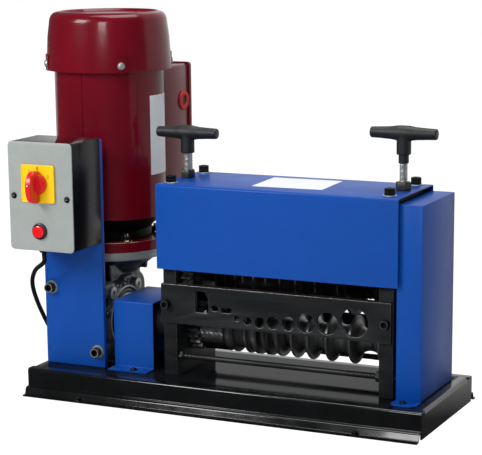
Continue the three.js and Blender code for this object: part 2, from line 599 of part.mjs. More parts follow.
function buildMotor() {
  const group = assembly(DRIVE_X, MOTOR.y, 0);
  const wine = (name, solid) => piece(group, name, solid, COLOURS.wine, 0.25, 0.1);
  wine("motor_body", motorBody());
  piece(group, "end_bell", endBell(), COLOURS.black, 0.5);

  const flangeBottom = MOTOR.flangeTop - MOTOR.flange;
  const ring = turned("z", [
    [SHAFT.radius + 3, flangeBottom], [MOTOR.radius, flangeBottom], [MOTOR.radius, MOTOR.flangeTop],
    [SHAFT.radius + 3, MOTOR.flangeTop], [SHAFT.radius + 3, flangeBottom],
  ], WIDE);
  const at = FLANGE_STUDS.circle / Math.SQRT2;
  const bosses = [[1, 1], [1, -1], [-1, 1], [-1, -1]].flatMap(([x, y]) => [
    prism("z", hexagon(FLANGE_STUDS.flats, x * at, y * at), MOTOR.flangeTop - 1, MOTOR.flangeTop + FLANGE_STUDS.nut),
    bar("z", FLANGE_STUDS.radius, MOTOR.flangeTop, MOTOR.flangeTop + FLANGE_STUDS.rise, [x * at, y * at], 8),
  ]);
  wine("motor_flange", joined(ring, ...bosses));
  wine("fan_cowl", fanCowl());

  const stator = turned("z", [
    [SHAFT.coreRadius + 0.8, SHAFT.core0], [MOTOR.radius - MOTOR.wall - FIT, SHAFT.core0],
    [MOTOR.radius - MOTOR.wall - FIT, SHAFT.core1], [SHAFT.coreRadius + 0.8, SHAFT.core1],
    [SHAFT.coreRadius + 0.8, SHAFT.core0],
  ], WIDE);
  piece(group, "stator", stator, COLOURS.steel, 0.5, 0.8);

  const shaftEnd = wormTop + FIT;
  const shaftTop = FAN_TOP + SHAFT.pastFan;
  const rotor = turned("z", [
    [0, shaftEnd], [SHAFT.radius, shaftEnd], [SHAFT.radius, SHAFT.core0], [SHAFT.coreRadius, SHAFT.core0],
    [SHAFT.coreRadius, SHAFT.core1], [SHAFT.radius, SHAFT.core1], [SHAFT.radius, shaftTop], [0, shaftTop],
  ]);
  piece(group, "motor_rotor", rotor, COLOURS.steel, 0.4, 0.9);
  piece(group, "cooling_fan", fan(), COLOURS.black, 0.6);

  wine("terminal_box", terminalBox());
  const half = TERMINAL.width / 2 + TERMINAL.proud;
  const { bottom, top, proud } = TERMINAL;
  const lid = prism("y", roundedRectangle(-half, half, bottom - proud, top + proud, 6), 0, TERMINAL.lid, 3);
  const tray = [TERMINAL.width / 2 - 6, TERMINAL.lid - SHEET];
  const hollow = block([-tray[0], tray[0]], [-1, tray[1]], [bottom + 6, top - 6]);
  const cover = wine("terminal_lid", cut(lid, hollow));
  cover.position.y = TERMINAL.rear - MOTOR.y;

  const bush = turned("x", [
    [GROMMET.bore, -8], [GROMMET.bore + 2.7, -8], [GROMMET.bore + 2.7, 0], [GROMMET.radius, 0],
    [GROMMET.radius, 2], [GROMMET.radius - 2, GROMMET.proud + 1], [GROMMET.bore, GROMMET.proud],
    [GROMMET.bore, -8],
  ], 20);
  const grommet = piece(group, "cable_grommet", bush, COLOURS.red, 0.6);
  grommet.position.set(TERMINAL.width / 2, GROMMET.y - MOTOR.y, GROMMET.z);
}

// Worm gearbox, built round the motor's axis

const adapterTop = MOTOR.flangeTop - MOTOR.flange;
const adapterBottom = adapterTop - ADAPTER;
const wheelPitch = WORM_DISTANCE - WORM.pitch;
const wormLead = (2 * Math.PI * wheelPitch) / WORM.wheelTeeth;
const wormTop = 205;
const wormBottom = ROLLER_Z - 46;
const outputInX = (x) => x - DRIVE_X;

function gearboxHousing() {
  const { halfWidth, bottom, top, rear, corner, wall, neck } = GEARBOX;
  const front = columnRear - MOTOR.y;
  const body = prism("x", roundedRectangle(front + 6, rear - MOTOR.y, bottom, top, corner), -halfWidth, halfWidth, 4);
  const neckTube = bar("z", neck, top - 20, adapterBottom, [0, 0], 20);
  const { half, depth } = GEARBOX_LUG;
  const lug = (x, z) => block([x - half, x + half], [front, front + depth], [z - half, z + half]);
  const lugs = columnBolts().map(([x, z]) => lug(x - DRIVE_X, z));
  const [left, right] = [-COLUMN_BOLTS.dx, COLUMN_BOLTS.dx];
  lugs.push(lug(right, COLUMN_BOLTS.z + COLUMN_BOLTS.dz - 4), lug(left, COLUMN_BOLTS.z - COLUMN_BOLTS.dz + 4));
  const axis = -WORM_DISTANCE;
  const ringFace = halfWidth + GEARBOX_RING.proud;
  const ring = bar("x", GEARBOX_RING.radius, halfWidth - 1, ringFace, [axis, ROLLER_Z]);
  const collar = bar("x", GEARBOX_RING.collar, halfWidth, halfWidth + GEARBOX_RING.collarProud, [axis, ROLLER_Z]);
  const eyeAt = [-1, 1].map((side) => [axis + side * GEARBOX_EYE.y, ROLLER_Z + GEARBOX_EYE.up]);
  const eyes = eyeAt.map((at) => bar("x", GEARBOX_EYE.radius, halfWidth - 20, ringFace, at, 12));
  const eyeHoles = eyeAt.map((at) => bar("x", GEARBOX_EYE.bore, halfWidth - 10, ringFace + 1, at, 8));
  const rib = block([-3, 3], [-78, 0], [top - 30, adapterBottom - 8]);
  const outside = joined(body, neckTube, ...lugs, ring, collar, ...eyes, rib);

  const pocket = bar("x", wheelPitch + 7, -halfWidth - 1, halfWidth - wall, [axis, ROLLER_Z]);
  const wormPocket = bar("z", WORM.root + WORM.height + 3, wormBottom + 12, ROLLER_Z + 32);
  const wormBore = bar("z", SHAFT.radius + RUNNING, wormBottom - FIT, adapterBottom + 1);
  const shaftBore = bar("x", OUTPUT.radius + RUNNING, 0, halfWidth + 20, [axis, ROLLER_Z]);
  const boltHoles = columnBolts().map(([x, z]) =>
    bar("y", COLUMN_BOLTS.thread + FIT, front - 1, front + 9, [x - DRIVE_X, z], 12),
  );
  return cut(outside, pocket, wormPocket, wormBore, shaftBore, ...eyeHoles, ...boltHoles);
}

function buildGearbox() {
  const group = assembly(DRIVE_X, MOTOR.y, 0);
  const plate = turned("z", [
    [SHAFT.radius + 3, adapterBottom], [MOTOR.radius - 1, adapterBottom], [MOTOR.radius, adapterBottom + 1],
    [MOTOR.radius, adapterTop], [SHAFT.radius + 3, adapterTop], [SHAFT.radius + 3, adapterBottom],
  ], WIDE);
  piece(group, "adapter_plate", plate, COLOURS.alloy, 0.4, 0.8);
  piece(group, "gearbox_housing", gearboxHousing(), COLOURS.cast, 0.55, 0.2);

  const x = -GEARBOX.halfWidth;
  const { flange, cap, flat, proud, rim, spigot, wall } = GEARBOX_COVER;
  const bore = OUTPUT.radius + RUNNING;
  const cover = turned("x", [
    [0, x - proud], [flat, x - proud], [cap, x - rim], [wheelPitch + flange, x - rim],
    [wheelPitch + flange, x - FIT], [wheelPitch + spigot, x - FIT], [wheelPitch + spigot, x + rim],
    [bore, x + rim], [bore, x - wall], [0, x - wall],
  ]).translate([0, -WORM_DISTANCE, ROLLER_Z]);
  piece(group, "gearbox_cover", cover, COLOURS.cast, 0.55, 0.2);

  const thread = wormThread(wormLead).translate([0, 0, ROLLER_Z]);
  const journal = bar("z", SHAFT.radius, wormBottom, wormTop);
  piece(group, "worm", joined(thread, journal), COLOURS.steel, 0.35, 0.9);

  const module = (2 * wheelPitch) / WORM.wheelTeeth;
  const gap = Math.PI / WORM.wheelTeeth; // a gap, not a tooth, faces the worm
  const wheel = prism("x", gearShape(WORM.wheelTeeth, module, gap, 1.4, true), -WORM.face / 2, WORM.face / 2);
  const shaft = bar("x", OUTPUT.radius, x - 5, outputInX(OUTPUT.end));
  const output = piece(group, "worm_wheel", joined(wheel, shaft), COLOURS.bronze, 0.4, 0.8);
  output.position.set(0, -WORM_DISTANCE, ROLLER_Z);
}

// Coupling guard: a folded hood over the coupling, open at both ends

function buildGuard() {
  const group = assembly(0, 0, 0);
  const half = SHEET / 2;
  const [front, rear] = [GUARD.y0 + half, GUARD.y1 - half];
  const path = [
    [GUARD.y0 - GUARD.foot, BASE.top + half], [front, BASE.top + half], [front, GUARD.top - half],
    [rear, GUARD.top - half], [rear, BASE.top + half], [rear + GUARD.rearFoot, BASE.top + half],
  ];
  const hood = prism("x", foldedSheet(path, SHEET, 2.5), GUARD.x0, GUARD.x1);
  const footEnd = GUARD.y0 - GUARD.foot;
  const clip = prism("z", new THREE.Shape([
    new THREE.Vector2(GUARD.x1 - GUARD.clip, footEnd - 1), new THREE.Vector2(GUARD.x1 + 1, footEnd - 1),
    new THREE.Vector2(GUARD.x1 + 1, footEnd + GUARD.clip),
  ]), BASE.top - 1, BASE.top + 5);
  const middle = (GUARD.x0 + GUARD.x1) / 2;
  const hole = bar("z", FOOT_SCREW, BASE.top - 1, BASE.top + 5, [middle, GUARD.y0 - GUARD.foot / 2], 10);
  piece(group, "coupling_guard", cut(hood, clip, hole), COLOURS.blue);
}

// Frame side plates, drawn with the left plate's outer face at x = 0

const tieRods = [FRAME.y0 + FRAME_TIE.fromFront, FRAME_REAR - FRAME_TIE.fromRear];
const screwRows = [FRAME.y0 + CAP_SCREW.fromFront, FRAME_REAR - CAP_SCREW.fromRear];
const plateTop = HOUSING.top - SHEET;
const plateMiddles = [FRAME.x0 + FRAME.thick / 2, FRAME_RIGHT + FRAME.thick / 2];
const blockBottom = BLADE_Z - BLOCK.height / 2;
const windowTop = blockBottom + BLOCK.height + LIFT + 4;

function sidePlate(screwX) {
  const { thick, y0, depth } = FRAME;
  const solid = block([0, thick], [y0, y0 + depth], [BASE.top, plateTop]);
  const half = BLOCK.width / 2 + FIT;
  const window = block([-1, thick + 1], [AXIS_Y - half, AXIS_Y + half], [blockBottom - FIT, windowTop]);
  const rollerBore = bar("x", JOURNAL + RUNNING, -1, thick + 1, [AXIS_Y, ROLLER_Z]);
  const rodBores = tieRods.map((y) => bar("x", FRAME_TIE.radius + FIT, -1, thick + 1, [y, FRAME_TIE.z], 12));
  const adjusterBore = bar("z", ADJUST.radius + 2 * FIT, windowTop - 1, plateTop + 1, [thick / 2, AXIS_Y]);
  const screwBores = screwRows.map((y) =>
    bar("z", CAP_SCREW.thread + FIT, plateTop - 20, plateTop + 1, [thick / 2, y], 12),
  );
  const guideBore = bar("y", GUIDE_SCREW.thread + FIT, y0 - 1, y0 + 15, [screwX, GUIDE_SCREW.z], 12);
  return cut(solid, window, rollerBore, ...rodBores, adjusterBore, ...screwBores, guideBore);
}

function tieRod() {
  const right = FRAME_RIGHT + FRAME.thick;
  const rod = bar("x", FRAME_TIE.radius, FRAME.x0 - FRAME_TIE.proud, right + FRAME_TIE.proud, [0, 0], 12);
  const nut = (from) => prism("x", hexagon(FRAME_TIE.nutFlats), from, from + FRAME_TIE.nut);
  return joined(rod, nut(FRAME_LEFT + FIT), nut(FRAME_RIGHT - FIT - FRAME_TIE.nut));
}

function buildFrame() {
  const left = assembly(FRAME.x0, 0, 0);
  const right = assembly(FRAME_RIGHT, 0, 0);
  piece(left, "side_plate_left", sidePlate(GUIDE_SCREW.inset), COLOURS.dark, 0.5, 0.6);
  piece(right, "side_plate_right", sidePlate(FRAME.thick - GUIDE_SCREW.inset), COLOURS.dark, 0.5, 0.6);
  const group = assembly(0, 0, 0);
  ["front_tie_rod", "rear_tie_rod"].forEach((name, k) => {
    piece(group, name, tieRod(), COLOURS.zinc, 0.4, 0.9).position.set(0, tieRods[k], FRAME_TIE.z);
  });
  const rear = FRAME_REAR - REST_BAR.fromRear;
  const between = [FRAME_LEFT + FIT, FRAME_RIGHT - FIT];
  const bar = block(between, [rear - REST_BAR.thick, rear], [REST_BAR.bottom, REST_BAR.top]);
  piece(group, "rest_bar", bar, COLOURS.dark, 0.45, 0.7);
}

// Guide plate: a flat bar with one opening for each lane

const guideFront = FRAME.y0 - GUIDE.thick;

function laneOpening({ name, x, width, height, floor }) {
  const through = [guideFront - 1, FRAME.y0 + 1];
  const corner = CORNERS[name];
  if (!corner) return bar("y", width / 2, ...through, [x, floor + width / 2], width > 30 ? 20 : 14);
  return prism("y", roundedRectangle(x - width / 2, x + width / 2, floor, floor + height, corner), ...through, 3);
}

function guidePlate() {
  const x0 = FRAME.x0 - GUIDE.overlap;
  const x1 = FRAME_RIGHT + FRAME.thick - GUIDE.overlap;
  const plate = block([x0, x1], [guideFront, FRAME.y0], [GUIDE.bottom, GUIDE.top]);
  const openings = laneList.map(laneOpening);
  const screwHoles = guideScrews().map((x) =>
    bar("y", GUIDE_SCREW.thread + FIT, guideFront - 1, FRAME.y0 + 1, [x, GUIDE_SCREW.z], 12),
  );
  return cut(plate, ...openings, ...screwHoles);
}

function guideScrews() {
  return [FRAME.x0 + GUIDE_SCREW.inset, FRAME_RIGHT + FRAME.thick - GUIDE_SCREW.inset];
}

function buildGuide() {
  const group = assembly(0, 0, 0);
  piece(group, "guide_plate", guidePlate(), COLOURS.dark, 0.45, 0.7);
  const screw = { ...GUIDE_SCREW, shank: GUIDE.thick + GUIDE_SCREW.grip };
  guideScrews().forEach((x, k) => {
    const name = ["guide_screw_left", "guide_screw_right"][k];
    const made = piece(group, name, capScrew(screw), COLOURS.dark, 0.4, 0.8);
    made.rotation.x = Math.PI / 2;
    made.position.set(x, guideFront, GUIDE_SCREW.z);
  });
}

// Feed roller, turned from one bar, with a groove under each lane

const shaftsEnd = FRAME_RIGHT + ROLLER.beyond;

// A round groove as wide as its lane or as stated, with straight walls above the middle of its curve.
function groovePoints({ name, x, width, floor }) {
  const radius = (GROOVE_WIDTHS[name] ?? width) / 2;
  const sink = name === roundLanes.at(-1).name ? DEEPEST_GROOVE : ROLLER.grooveEase;
  const centre = floor - sink + radius - ROLLER_Z;
  const above = Math.max(centre - ROLLER.radius, 0);
  const halfWidth = Math.sqrt(radius ** 2 - above ** 2);
  const steps = radius > 11 ? 5 : 3;
  const start = Math.asin(halfWidth / radius);
  const points = [];
  for (let k = 0; k <= steps; k += 1) {
    const angle = -start + (2 * start * k) / steps;
    points.push([Math.min(centre - radius * Math.cos(angle), ROLLER.radius), x + radius * Math.sin(angle)]);
  }
  return [[ROLLER.radius, x - halfWidth], ...points, [ROLLER.radius, x + halfWidth]];
}

function flatGroovePoints({ name, x, width }) {
  if (!(name in FLAT_DEPTHS)) return [];
  const half = width / 2 - 1;
  const floor = ROLLER.radius - FLAT_DEPTHS[name];
  return [[ROLLER.radius, x - half - 1], [floor, x - half], [floor, x + half], [ROLLER.radius, x + half + 1]];
}

function feedRoller() {
  const { radius, bevel } = ROLLER;
  const [start, stop] = [FRAME_LEFT + ROLLER.margin, FRAME_RIGHT - ROLLER.endGap];
  const profile = [
    [0, -ROLLER.tail], [OUTPUT.radius, -ROLLER.tail], [OUTPUT.radius, 0], [JOURNAL, 0], [JOURNAL, start],
    [radius - bevel, start], [radius, start + bevel],
  ];
  flatLanes.forEach((lane) => profile.push(...flatGroovePoints(lane)));
  roundLanes.forEach((lane) => profile.push(...groovePoints(lane)));
  profile.push([radius, stop - bevel], [radius - bevel, stop], [JOURNAL, stop], [JOURNAL, shaftsEnd], [0, shaftsEnd]);
  return turned("x", distinct(profile));
}

// Drops points that repeat the one before them.
function distinct(profile) {
  return profile.filter(([r, x], k) => k === 0 || Math.hypot(r - profile[k - 1][0], x - profile[k - 1][1]) > 0.05);
}

// A gear with its bore, whose first tooth points along the angle first.
function gear(teeth, first) {
  const from = FRAME_LEFT + GEAR_GAP;
  const blank = prism("x", gearShape(teeth, GEAR_MODULE, first, BACKLASH), from, from + GEAR_FACE);
  return cut(blank, bar("x", JOURNAL + FIT, from - 1, from + GEAR_FACE + 1));
}

function buildRoller() {
  const group = assembly(0, AXIS_Y, ROLLER_Z);
  piece(group, "feed_roller", feedRoller(), COLOURS.steel, 0.35, 0.9);
  piece(group, "feed_gear", gear(FEED_TEETH, Math.PI / 2), COLOURS.dark, 0.4, 0.8);
  const sleeve = turned("x", [
    [OUTPUT.radius + FIT, COUPLING.x0], [COUPLING.radius - 1, COUPLING.x0], [COUPLING.radius, COUPLING.x0 + 1],
    [COUPLING.radius, COUPLING.x1 - 1], [COUPLING.radius - 1, COUPLING.x1], [OUTPUT.radius + FIT, COUPLING.x1],
    [OUTPUT.radius + FIT, COUPLING.x0],
  ]);
  piece(group, "drive_coupling", sleeve, COLOURS.dark, 0.4, 0.7);
}

// Knife shaft with its stack of circular knives, its gear and its two sliding blocks

const stackEnds = [FRAME_LEFT + GEAR_GAP + GEAR_FACE + FIT, FRAME_RIGHT - BLOCK.lip - 1];
const drumRadius = BLADE_Z - ROLLER_Z - ROLLER.radius - KNIFE.drumGap;

// The drums' groove over a lane, as far as the lane reaches above the drums' lowest point.
function drumGroove({ name, x, width, height, floor }) {
  const top = BLADE_Z - floor - height;
  const half = width / 2;
  if (top >= drumRadius) return [[drumRadius, x]];
  if (name in HEIGHTS) return [[drumRadius, x - half], [top, x - half], [top, x + half], [drumRadius, x + half]];
  const centre = top + half;
  const start = Math.acos(Math.max((centre - drumRadius) / half, 0));
  const steps = half > 15 ? 6 : 4;
  const curve = Array.from({ length: steps + 1 }, (_, k) => {
    const angle = -start + (2 * start * k) / steps;
    return [Math.min(centre - half * Math.cos(angle), drumRadius), x + half * Math.sin(angle)];
  });
  return [[drumRadius, curve[0][1]], ...curve, [drumRadius, curve.at(-1)[1]]];
}

// The groove's outline with the knife standing up in its middle, ground to an edge on one side.
function drumWithKnife(lane) {
  const tip = BLADE_Z - lane.floor - lane.height + KNIFE.bite;
  const half = KNIFE.thick / 2;
  const groove = drumGroove(lane);
  const lowest = Math.min(...groove.map(([radius]) => radius));
  const left = groove.filter(([, x]) => x < lane.x - half);
  const right = groove.filter(([, x]) => x > lane.x + half);
  const knife = [[lowest, lane.x - half], [tip, lane.x - half], [lowest, lane.x + half]];
  return [...left, ...knife, ...right];
}

function knifeStack() {
  const bore = JOURNAL + FIT;
  const [start, stop] = stackEnds;
  const profile = [[bore, start], [drumRadius, start], ...laneList.flatMap(drumWithKnife)];
  profile.push([drumRadius, stop], [bore, stop], [bore, start]);
  return turned("x", profile);
}

function bearingBlock(side) {
  const { width, height, lip, lipWidth } = BLOCK;
  const { thick } = FRAME;
  const [y, z] = [width / 2, height / 2];
  const bodyX = side < 0 ? [FRAME.x0, FRAME.x0 + thick + FIT] : [FRAME_RIGHT - FIT, FRAME_RIGHT + thick];
  const lipX = side < 0 ? [bodyX[1], bodyX[1] + lip] : [bodyX[0] - lip, bodyX[0]];
  const body = joined(
    block(bodyX, [-y, y], [-z, z]),
    block(lipX, [-lipWidth / 2, lipWidth / 2], [-z, z]),
  );
  const middle = plateMiddles[side < 0 ? 0 : 1];
  const bore = bar("x", JOURNAL + RUNNING, -20, FRAME_RIGHT + 60);
  const pocket = bar("z", ADJUST.radius + FIT, z - ADJUST.pocket, z + 1, [middle, 0]);
  return cut(body, bore, pocket);
}

function buildKnives() {
  const group = assembly(0, AXIS_Y, BLADE_Z);
  const shaft = turned("x", [
    [0, FRAME.x0 + 4], [JOURNAL - 1, FRAME.x0 + 4], [JOURNAL, FRAME.x0 + 5], [JOURNAL, shaftsEnd - 1],
    [JOURNAL - 1, shaftsEnd], [0, shaftsEnd],
  ]);
  piece(group, "blade_shaft", shaft, COLOURS.steel, 0.35, 0.9);
  piece(group, "blade_stack", knifeStack(), COLOURS.steel, 0.3, 0.9);
  const first = -Math.PI / 2 + Math.PI / BLADE_TEETH; // a gap faces the feed gear's tooth
  piece(group, "blade_gear", gear(BLADE_TEETH, first), COLOURS.dark, 0.4, 0.8);
  piece(group, "bearing_block_left", bearingBlock(-1), COLOURS.dark, 0.5, 0.6);
  piece(group, "bearing_block_right", bearingBlock(1), COLOURS.dark, 0.5, 0.6);
}

// Adjusting screws, each built round its own axis

function tGrip(collar) {
  const half = GRIP.length / 2;
  const handle = turned("x", [
    [0, -half], [GRIP.end - 1.5, -half], [GRIP.end, 2 - half], [GRIP.end + 1.2, -half / 2], [GRIP.middle, -8],
    [GRIP.middle, 8], [GRIP.end + 1.2, half / 2], [GRIP.end, half - 2], [GRIP.end - 1.5, half], [0, half],
  ], 12);
  const stem = bar("z", GRIP.stem, -GRIP.stemDrop, 0);
  const parts = [handle, stem];
  if (collar) parts.push(bar("z", GRIP_COLLAR.radius, -GRIP.stemDrop - GRIP_COLLAR.length, 0));
  const hole = bar("z", ADJUST.radius + FIT, -GRIP.stemDrop - 40, -4);
  return cut(joined(...parts), hole);
}

function buildAdjuster(name, x, gripZ, collar) {
  const group = assembly(x, AXIS_Y, 0);
  const blockTop = BLADE_Z + BLOCK.height / 2;
  const rod = bar("z", ADJUST.radius, blockTop - ADJUST.pocket + FIT, gripZ - 4 - FIT);
  piece(group, "adjuster_screw_" + name, rod, COLOURS.zinc, 0.35, 0.9);
  const grip = piece(group, "t_grip_" + name, tGrip(collar), COLOURS.grip, 0.6);
  grip.position.z = gripZ;
  const nut = prism("z", hexagon(ADJUST.nutFlats), HOUSING.top, HOUSING.top + ADJUST.nut);
  const thread = bar("z", ADJUST.radius + FIT, HOUSING.top - 1, HOUSING.top + ADJUST.nut + 1);
  piece(group, "hex_nut_" + name, cut(nut, thread), COLOURS.zinc, 0.45, 0.8);
}

// Sheet housing and end cover

function buildHousing() {
  const group = assembly(0, 0, 0);
  const half = SHEET / 2;
  const { x0, behind, bottom, top, bend } = HOUSING;
  const rear = FRAME_REAR + behind - half;
  const path = [[half, bottom], [half, top - half], [rear, top - half], [rear, bottom]];
  const shell = prism("x", foldedSheet(path, SHEET, bend), x0, HOUSING_END);
  const holes = plateMiddles.flatMap((x) => [
    bar("z", ADJUST.radius + 2 * FIT, top - 5, top + 1, [x, AXIS_Y]),
    ...screwRows.map((y) => bar("z", CAP_SCREW.thread + FIT, top - 5, top + 1, [x, y], 12)),
  ]);
  piece(group, "housing", cut(shell, ...holes), COLOURS.blue);
  const names = ["housing_screw_left", "housing_screw_right"];
  plateMiddles.forEach((x, k) => screwRows.forEach((y, row) => {
    const name = names[k] + ["_front", "_rear"][row];
    const made = piece(group, name, capScrew({ ...CAP_SCREW, shank: 18 }), COLOURS.dark, 0.4, 0.8);
    made.position.set(x, y, top);
  }));
}

function buildCover() {
  const group = assembly(HOUSING_END - COVER.under, COVER.y0, 0);
  const { width, y0, behind, top, foot, clip } = COVER;
  const depth = FRAME_REAR + behind - y0;
  const outer = block([0, width], [0, depth], [BASE.top, top]);
  const inner = block([-1, width - SHEET], [SHEET, depth - SHEET], [BASE.top - 1, top - SHEET]);
  const tab = prism("z", new THREE.Shape([
    new THREE.Vector2(0, 1), new THREE.Vector2(0, clip - foot), new THREE.Vector2(clip, -foot),
    new THREE.Vector2(width - clip, -foot), new THREE.Vector2(width, clip - foot), new THREE.Vector2(width, 1),
  ]), BASE.top, BASE.top + SHEET);
  const rearTab = block([4, width - 4], [depth - 1, depth + COVER.rearFoot], [BASE.top, BASE.top + SHEET]);
  const hole = bar("z", FOOT_SCREW, BASE.top - 1, BASE.top + 5, [width / 2, -foot / 2], 10);
  piece(group, "end_cover", cut(joined(cut(outer, inner), tab, rearTab), hole), COLOURS.blue);
}

buildBase();
buildColumn();
buildControl();
buildCord();
buildMotor();
buildGearbox();
buildGuard();
buildFrame();
buildGuide();
buildRoller();
buildKnives();
buildAdjuster("left", plateMiddles[0], GRIP_LEFT_Z, false);
buildAdjuster("right", plateMiddles[1], GRIP_RIGHT_Z, true);
buildHousing();
buildCover();

// The origin is the middle of the machine's outline, on the floor.
machine.updateMatrixWorld(true);
const outline = new THREE.Box3().setFromObject(machine, true);
const middle = outline.getCenter(new THREE.Vector3());
machine.position.set(-middle.x, -middle.y, -outline.min.z);

export default machine;
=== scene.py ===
"""Motor driven cable stripping machine: the packed solids dressed with smooth shapes and real finishes."""

from math import acos, asin, atan2, cos, pi, radians, sin, sqrt, tan

import bmesh
import bpy
from mathutils import Euler, Matrix, Vector
from mathutils.geometry import interpolate_bezier


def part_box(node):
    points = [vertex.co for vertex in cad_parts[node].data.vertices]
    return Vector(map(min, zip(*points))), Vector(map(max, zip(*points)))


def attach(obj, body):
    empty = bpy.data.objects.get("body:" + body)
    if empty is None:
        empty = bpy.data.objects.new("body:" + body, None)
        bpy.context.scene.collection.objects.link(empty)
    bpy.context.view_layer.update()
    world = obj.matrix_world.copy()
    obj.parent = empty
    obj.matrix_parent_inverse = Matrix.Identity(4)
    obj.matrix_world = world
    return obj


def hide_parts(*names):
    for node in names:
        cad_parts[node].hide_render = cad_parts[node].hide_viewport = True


bl_info = {
    "name": "Cable stripping machine",
    "version": (1, 0, 0),
    "blender": (4, 5, 0),
    "location": "View3D > Sidebar > Stripper",
    "description": "Builds the visible pieces of a motor driven cable stripping machine",
    "category": "Object",
}

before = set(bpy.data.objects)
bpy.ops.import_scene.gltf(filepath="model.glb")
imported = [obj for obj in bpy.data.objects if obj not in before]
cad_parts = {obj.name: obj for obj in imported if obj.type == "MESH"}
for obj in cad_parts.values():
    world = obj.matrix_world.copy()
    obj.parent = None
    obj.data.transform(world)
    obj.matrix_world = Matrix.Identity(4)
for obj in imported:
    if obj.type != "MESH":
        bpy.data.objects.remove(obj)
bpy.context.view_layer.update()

# Drawing millimetres: x from the housing's left edge, y from its front face, z from the floor.
ORIGIN = Vector((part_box("housing")[0].x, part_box("housing")[0].y, 0))
MM = 0.001
WELD = 1e-6  # points nearer than this many metres are one


def span(node):
    """A node's reach along x, y and z in drawing millimetres."""
    low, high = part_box(node)
    return [((low[k] - ORIGIN[k]) / MM, (high[k] - ORIGIN[k]) / MM) for k in range(3)]


def middle(node):
    return [(low + high) / 2 for low, high in span(node)]


MOTOR_X, MOTOR_Y = middle("motor_body")[:2]
SHAFT_Y, ROLLER_Z = middle("feed_roller")[1:]
KNIFE_Z = middle("blade_shaft")[2]
DECK = span("base_deck")[2][1]
FRAME_LEFT_IN, FRAME_RIGHT_IN = span("side_plate_left")[0][1], span("side_plate_right")[0][0]

# Lanes of the guide plate: x, bore and lowest point; the flat ones have width, height and corner.
ROUND_LANES = [
    (151, 11, 158), (171.5, 14.5, 153), (194, 19, 150), (219, 23, 150), (247.5, 24.5, 150), (280, 33, 150),
    (319, 38.5, 150), (368, 50, 150)
]
FLAT_LANES = [(83.7, 25, 38, 167.2, 3), (108.4, 13.5, 10, 172.2, 4.5), (130.7, 22, 9.7, 170.6, 4.5)]
GROOVE_WIDTHS = {11: 10, 14.5: 11, 19: 13, 33: 30}  # the roller's grooves that are narrower than their bore


# Shapes are pairs of points, in drawing millimetres, and faces.


def joined(*shapes):
    points, faces = [], []
    for more, loops in shapes:
        faces += [[k + len(points) for k in loop] for loop in loops]
        points += more
    return points, faces


def spun(turn):
    return Euler([radians(a) for a in turn]).to_matrix().to_4x4()


def moved(shape, x=0, y=0, z=0, turn=(0, 0, 0)):
    """The shape turned by degrees about x, y and z, then moved."""
    matrix = Matrix.Translation((x, y, z)) @ spun(turn)
    return [tuple(matrix @ Vector(p)) for p in shape[0]], shape[1]


def along(axis, u, v, w):
    """A point drawn across an axis, at the distance w along it."""
    return {"x": (w, u, v), "y": (u, w, v), "z": (u, v, w)}[axis]


def turned(axis, profile, centre=(0, 0), steps=96, start=0.0):
    """Spins a profile of (radius, distance from start); one that begins off the axis is closed."""
    rings, points, faces = [], [], []
    for radius, height in profile:
        count = steps if radius > 0 else 1
        rings.append([len(points) + k for k in range(count)])
        for k in range(count):
            angle = 2 * pi * k / steps
            u, v = centre[0] + radius * cos(angle), centre[1] + radius * sin(angle)
            points.append(along(axis, u, v, start + height))
    pairs = list(zip(rings, rings[1:])) + ([(rings[-1], rings[0])] if profile[0][0] > 0 else [])
    for low, high in pairs:
        for k in range(steps):
            loop = [
                low[k % len(low)], low[(k + 1) % len(low)], high[(k + 1) % len(high)], high[k % len(high)]
            ]
            loop = list(dict.fromkeys(loop))
            if len(loop) > 2:
                faces.append(loop)
    return points, faces


def tube(axis, bore, radius, start, end, centre=(0, 0), steps=96):
    """A plain ring, or a disc where the bore is 0."""
    profile = [(bore, start), (radius, start), (radius, end), (bore, end)]
    return turned(axis, profile, centre, steps)


def pulled(axis, outlines, start, end, edge=0.0):
    """Pulls an outline, and the holes that follow it, along an axis, with its rims rounded by edge."""
    curve = bpy.data.curves.new("outline", "CURVE")
    curve.dimensions, curve.fill_mode = "2D", "BOTH"
    for outline in outlines:
        spline = curve.splines.new("POLY")
        spline.points.add(len(outline) - 1)
        for point, (u, v) in zip(spline.points, outline):
            point.co = (u, v, 0, 1)
        spline.use_cyclic_u = True
    curve.extrude = (end - start) / 2 - edge
    curve.bevel_depth, curve.offset, curve.bevel_resolution = edge, -edge, 1
    return skin(curve, lambda co: along(axis, co.x, co.y, co.z + (start + end) / 2))


def skin(curve, place=tuple):
    """The faces of a curve or a text, each point set by place; the curve is used up."""
    holder = bpy.data.objects.new("holder", curve)
    mesh = bpy.data.meshes.new_from_object(holder)
    shape = [place(v.co) for v in mesh.vertices], [list(p.vertices) for p in mesh.polygons]
    bpy.data.objects.remove(holder)
    bpy.data.curves.remove(curve)
    bpy.data.meshes.remove(mesh)
    return shape


def arc(centre, radius, start, end, steps):
    step = (end - start) / steps
    turns = [radians(start + k * step) for k in range(steps + 1)]
    return [(centre[0] + radius * cos(a), centre[1] + radius * sin(a)) for a in turns]


def circle(centre, radius, steps=64):
    return arc(centre, radius, 0, 360, steps)[:-1]


def rounded(u, v, corner, steps=6):
    """A rectangle over the reaches u and v, with round corners."""
    (u0, u1), (v0, v1) = (u[0] + corner, u[1] - corner), (v[0] + corner, v[1] - corner)
    outline = []
    for centre, start in (((u1, v0), -90), ((u1, v1), 0), ((u0, v1), 90), ((u0, v0), 180)):
        outline += arc(centre, corner, start, start + 90, steps)
    return outline


def block(x, y, z, edge=0.6):
    """A box whose edges are all rounded."""
    return pulled("z", [rounded(x, y, edge, 2)], *z, edge)


def hexagon(centre, flats):
    return arc(centre, flats / sqrt(3), 0, 300, 5)


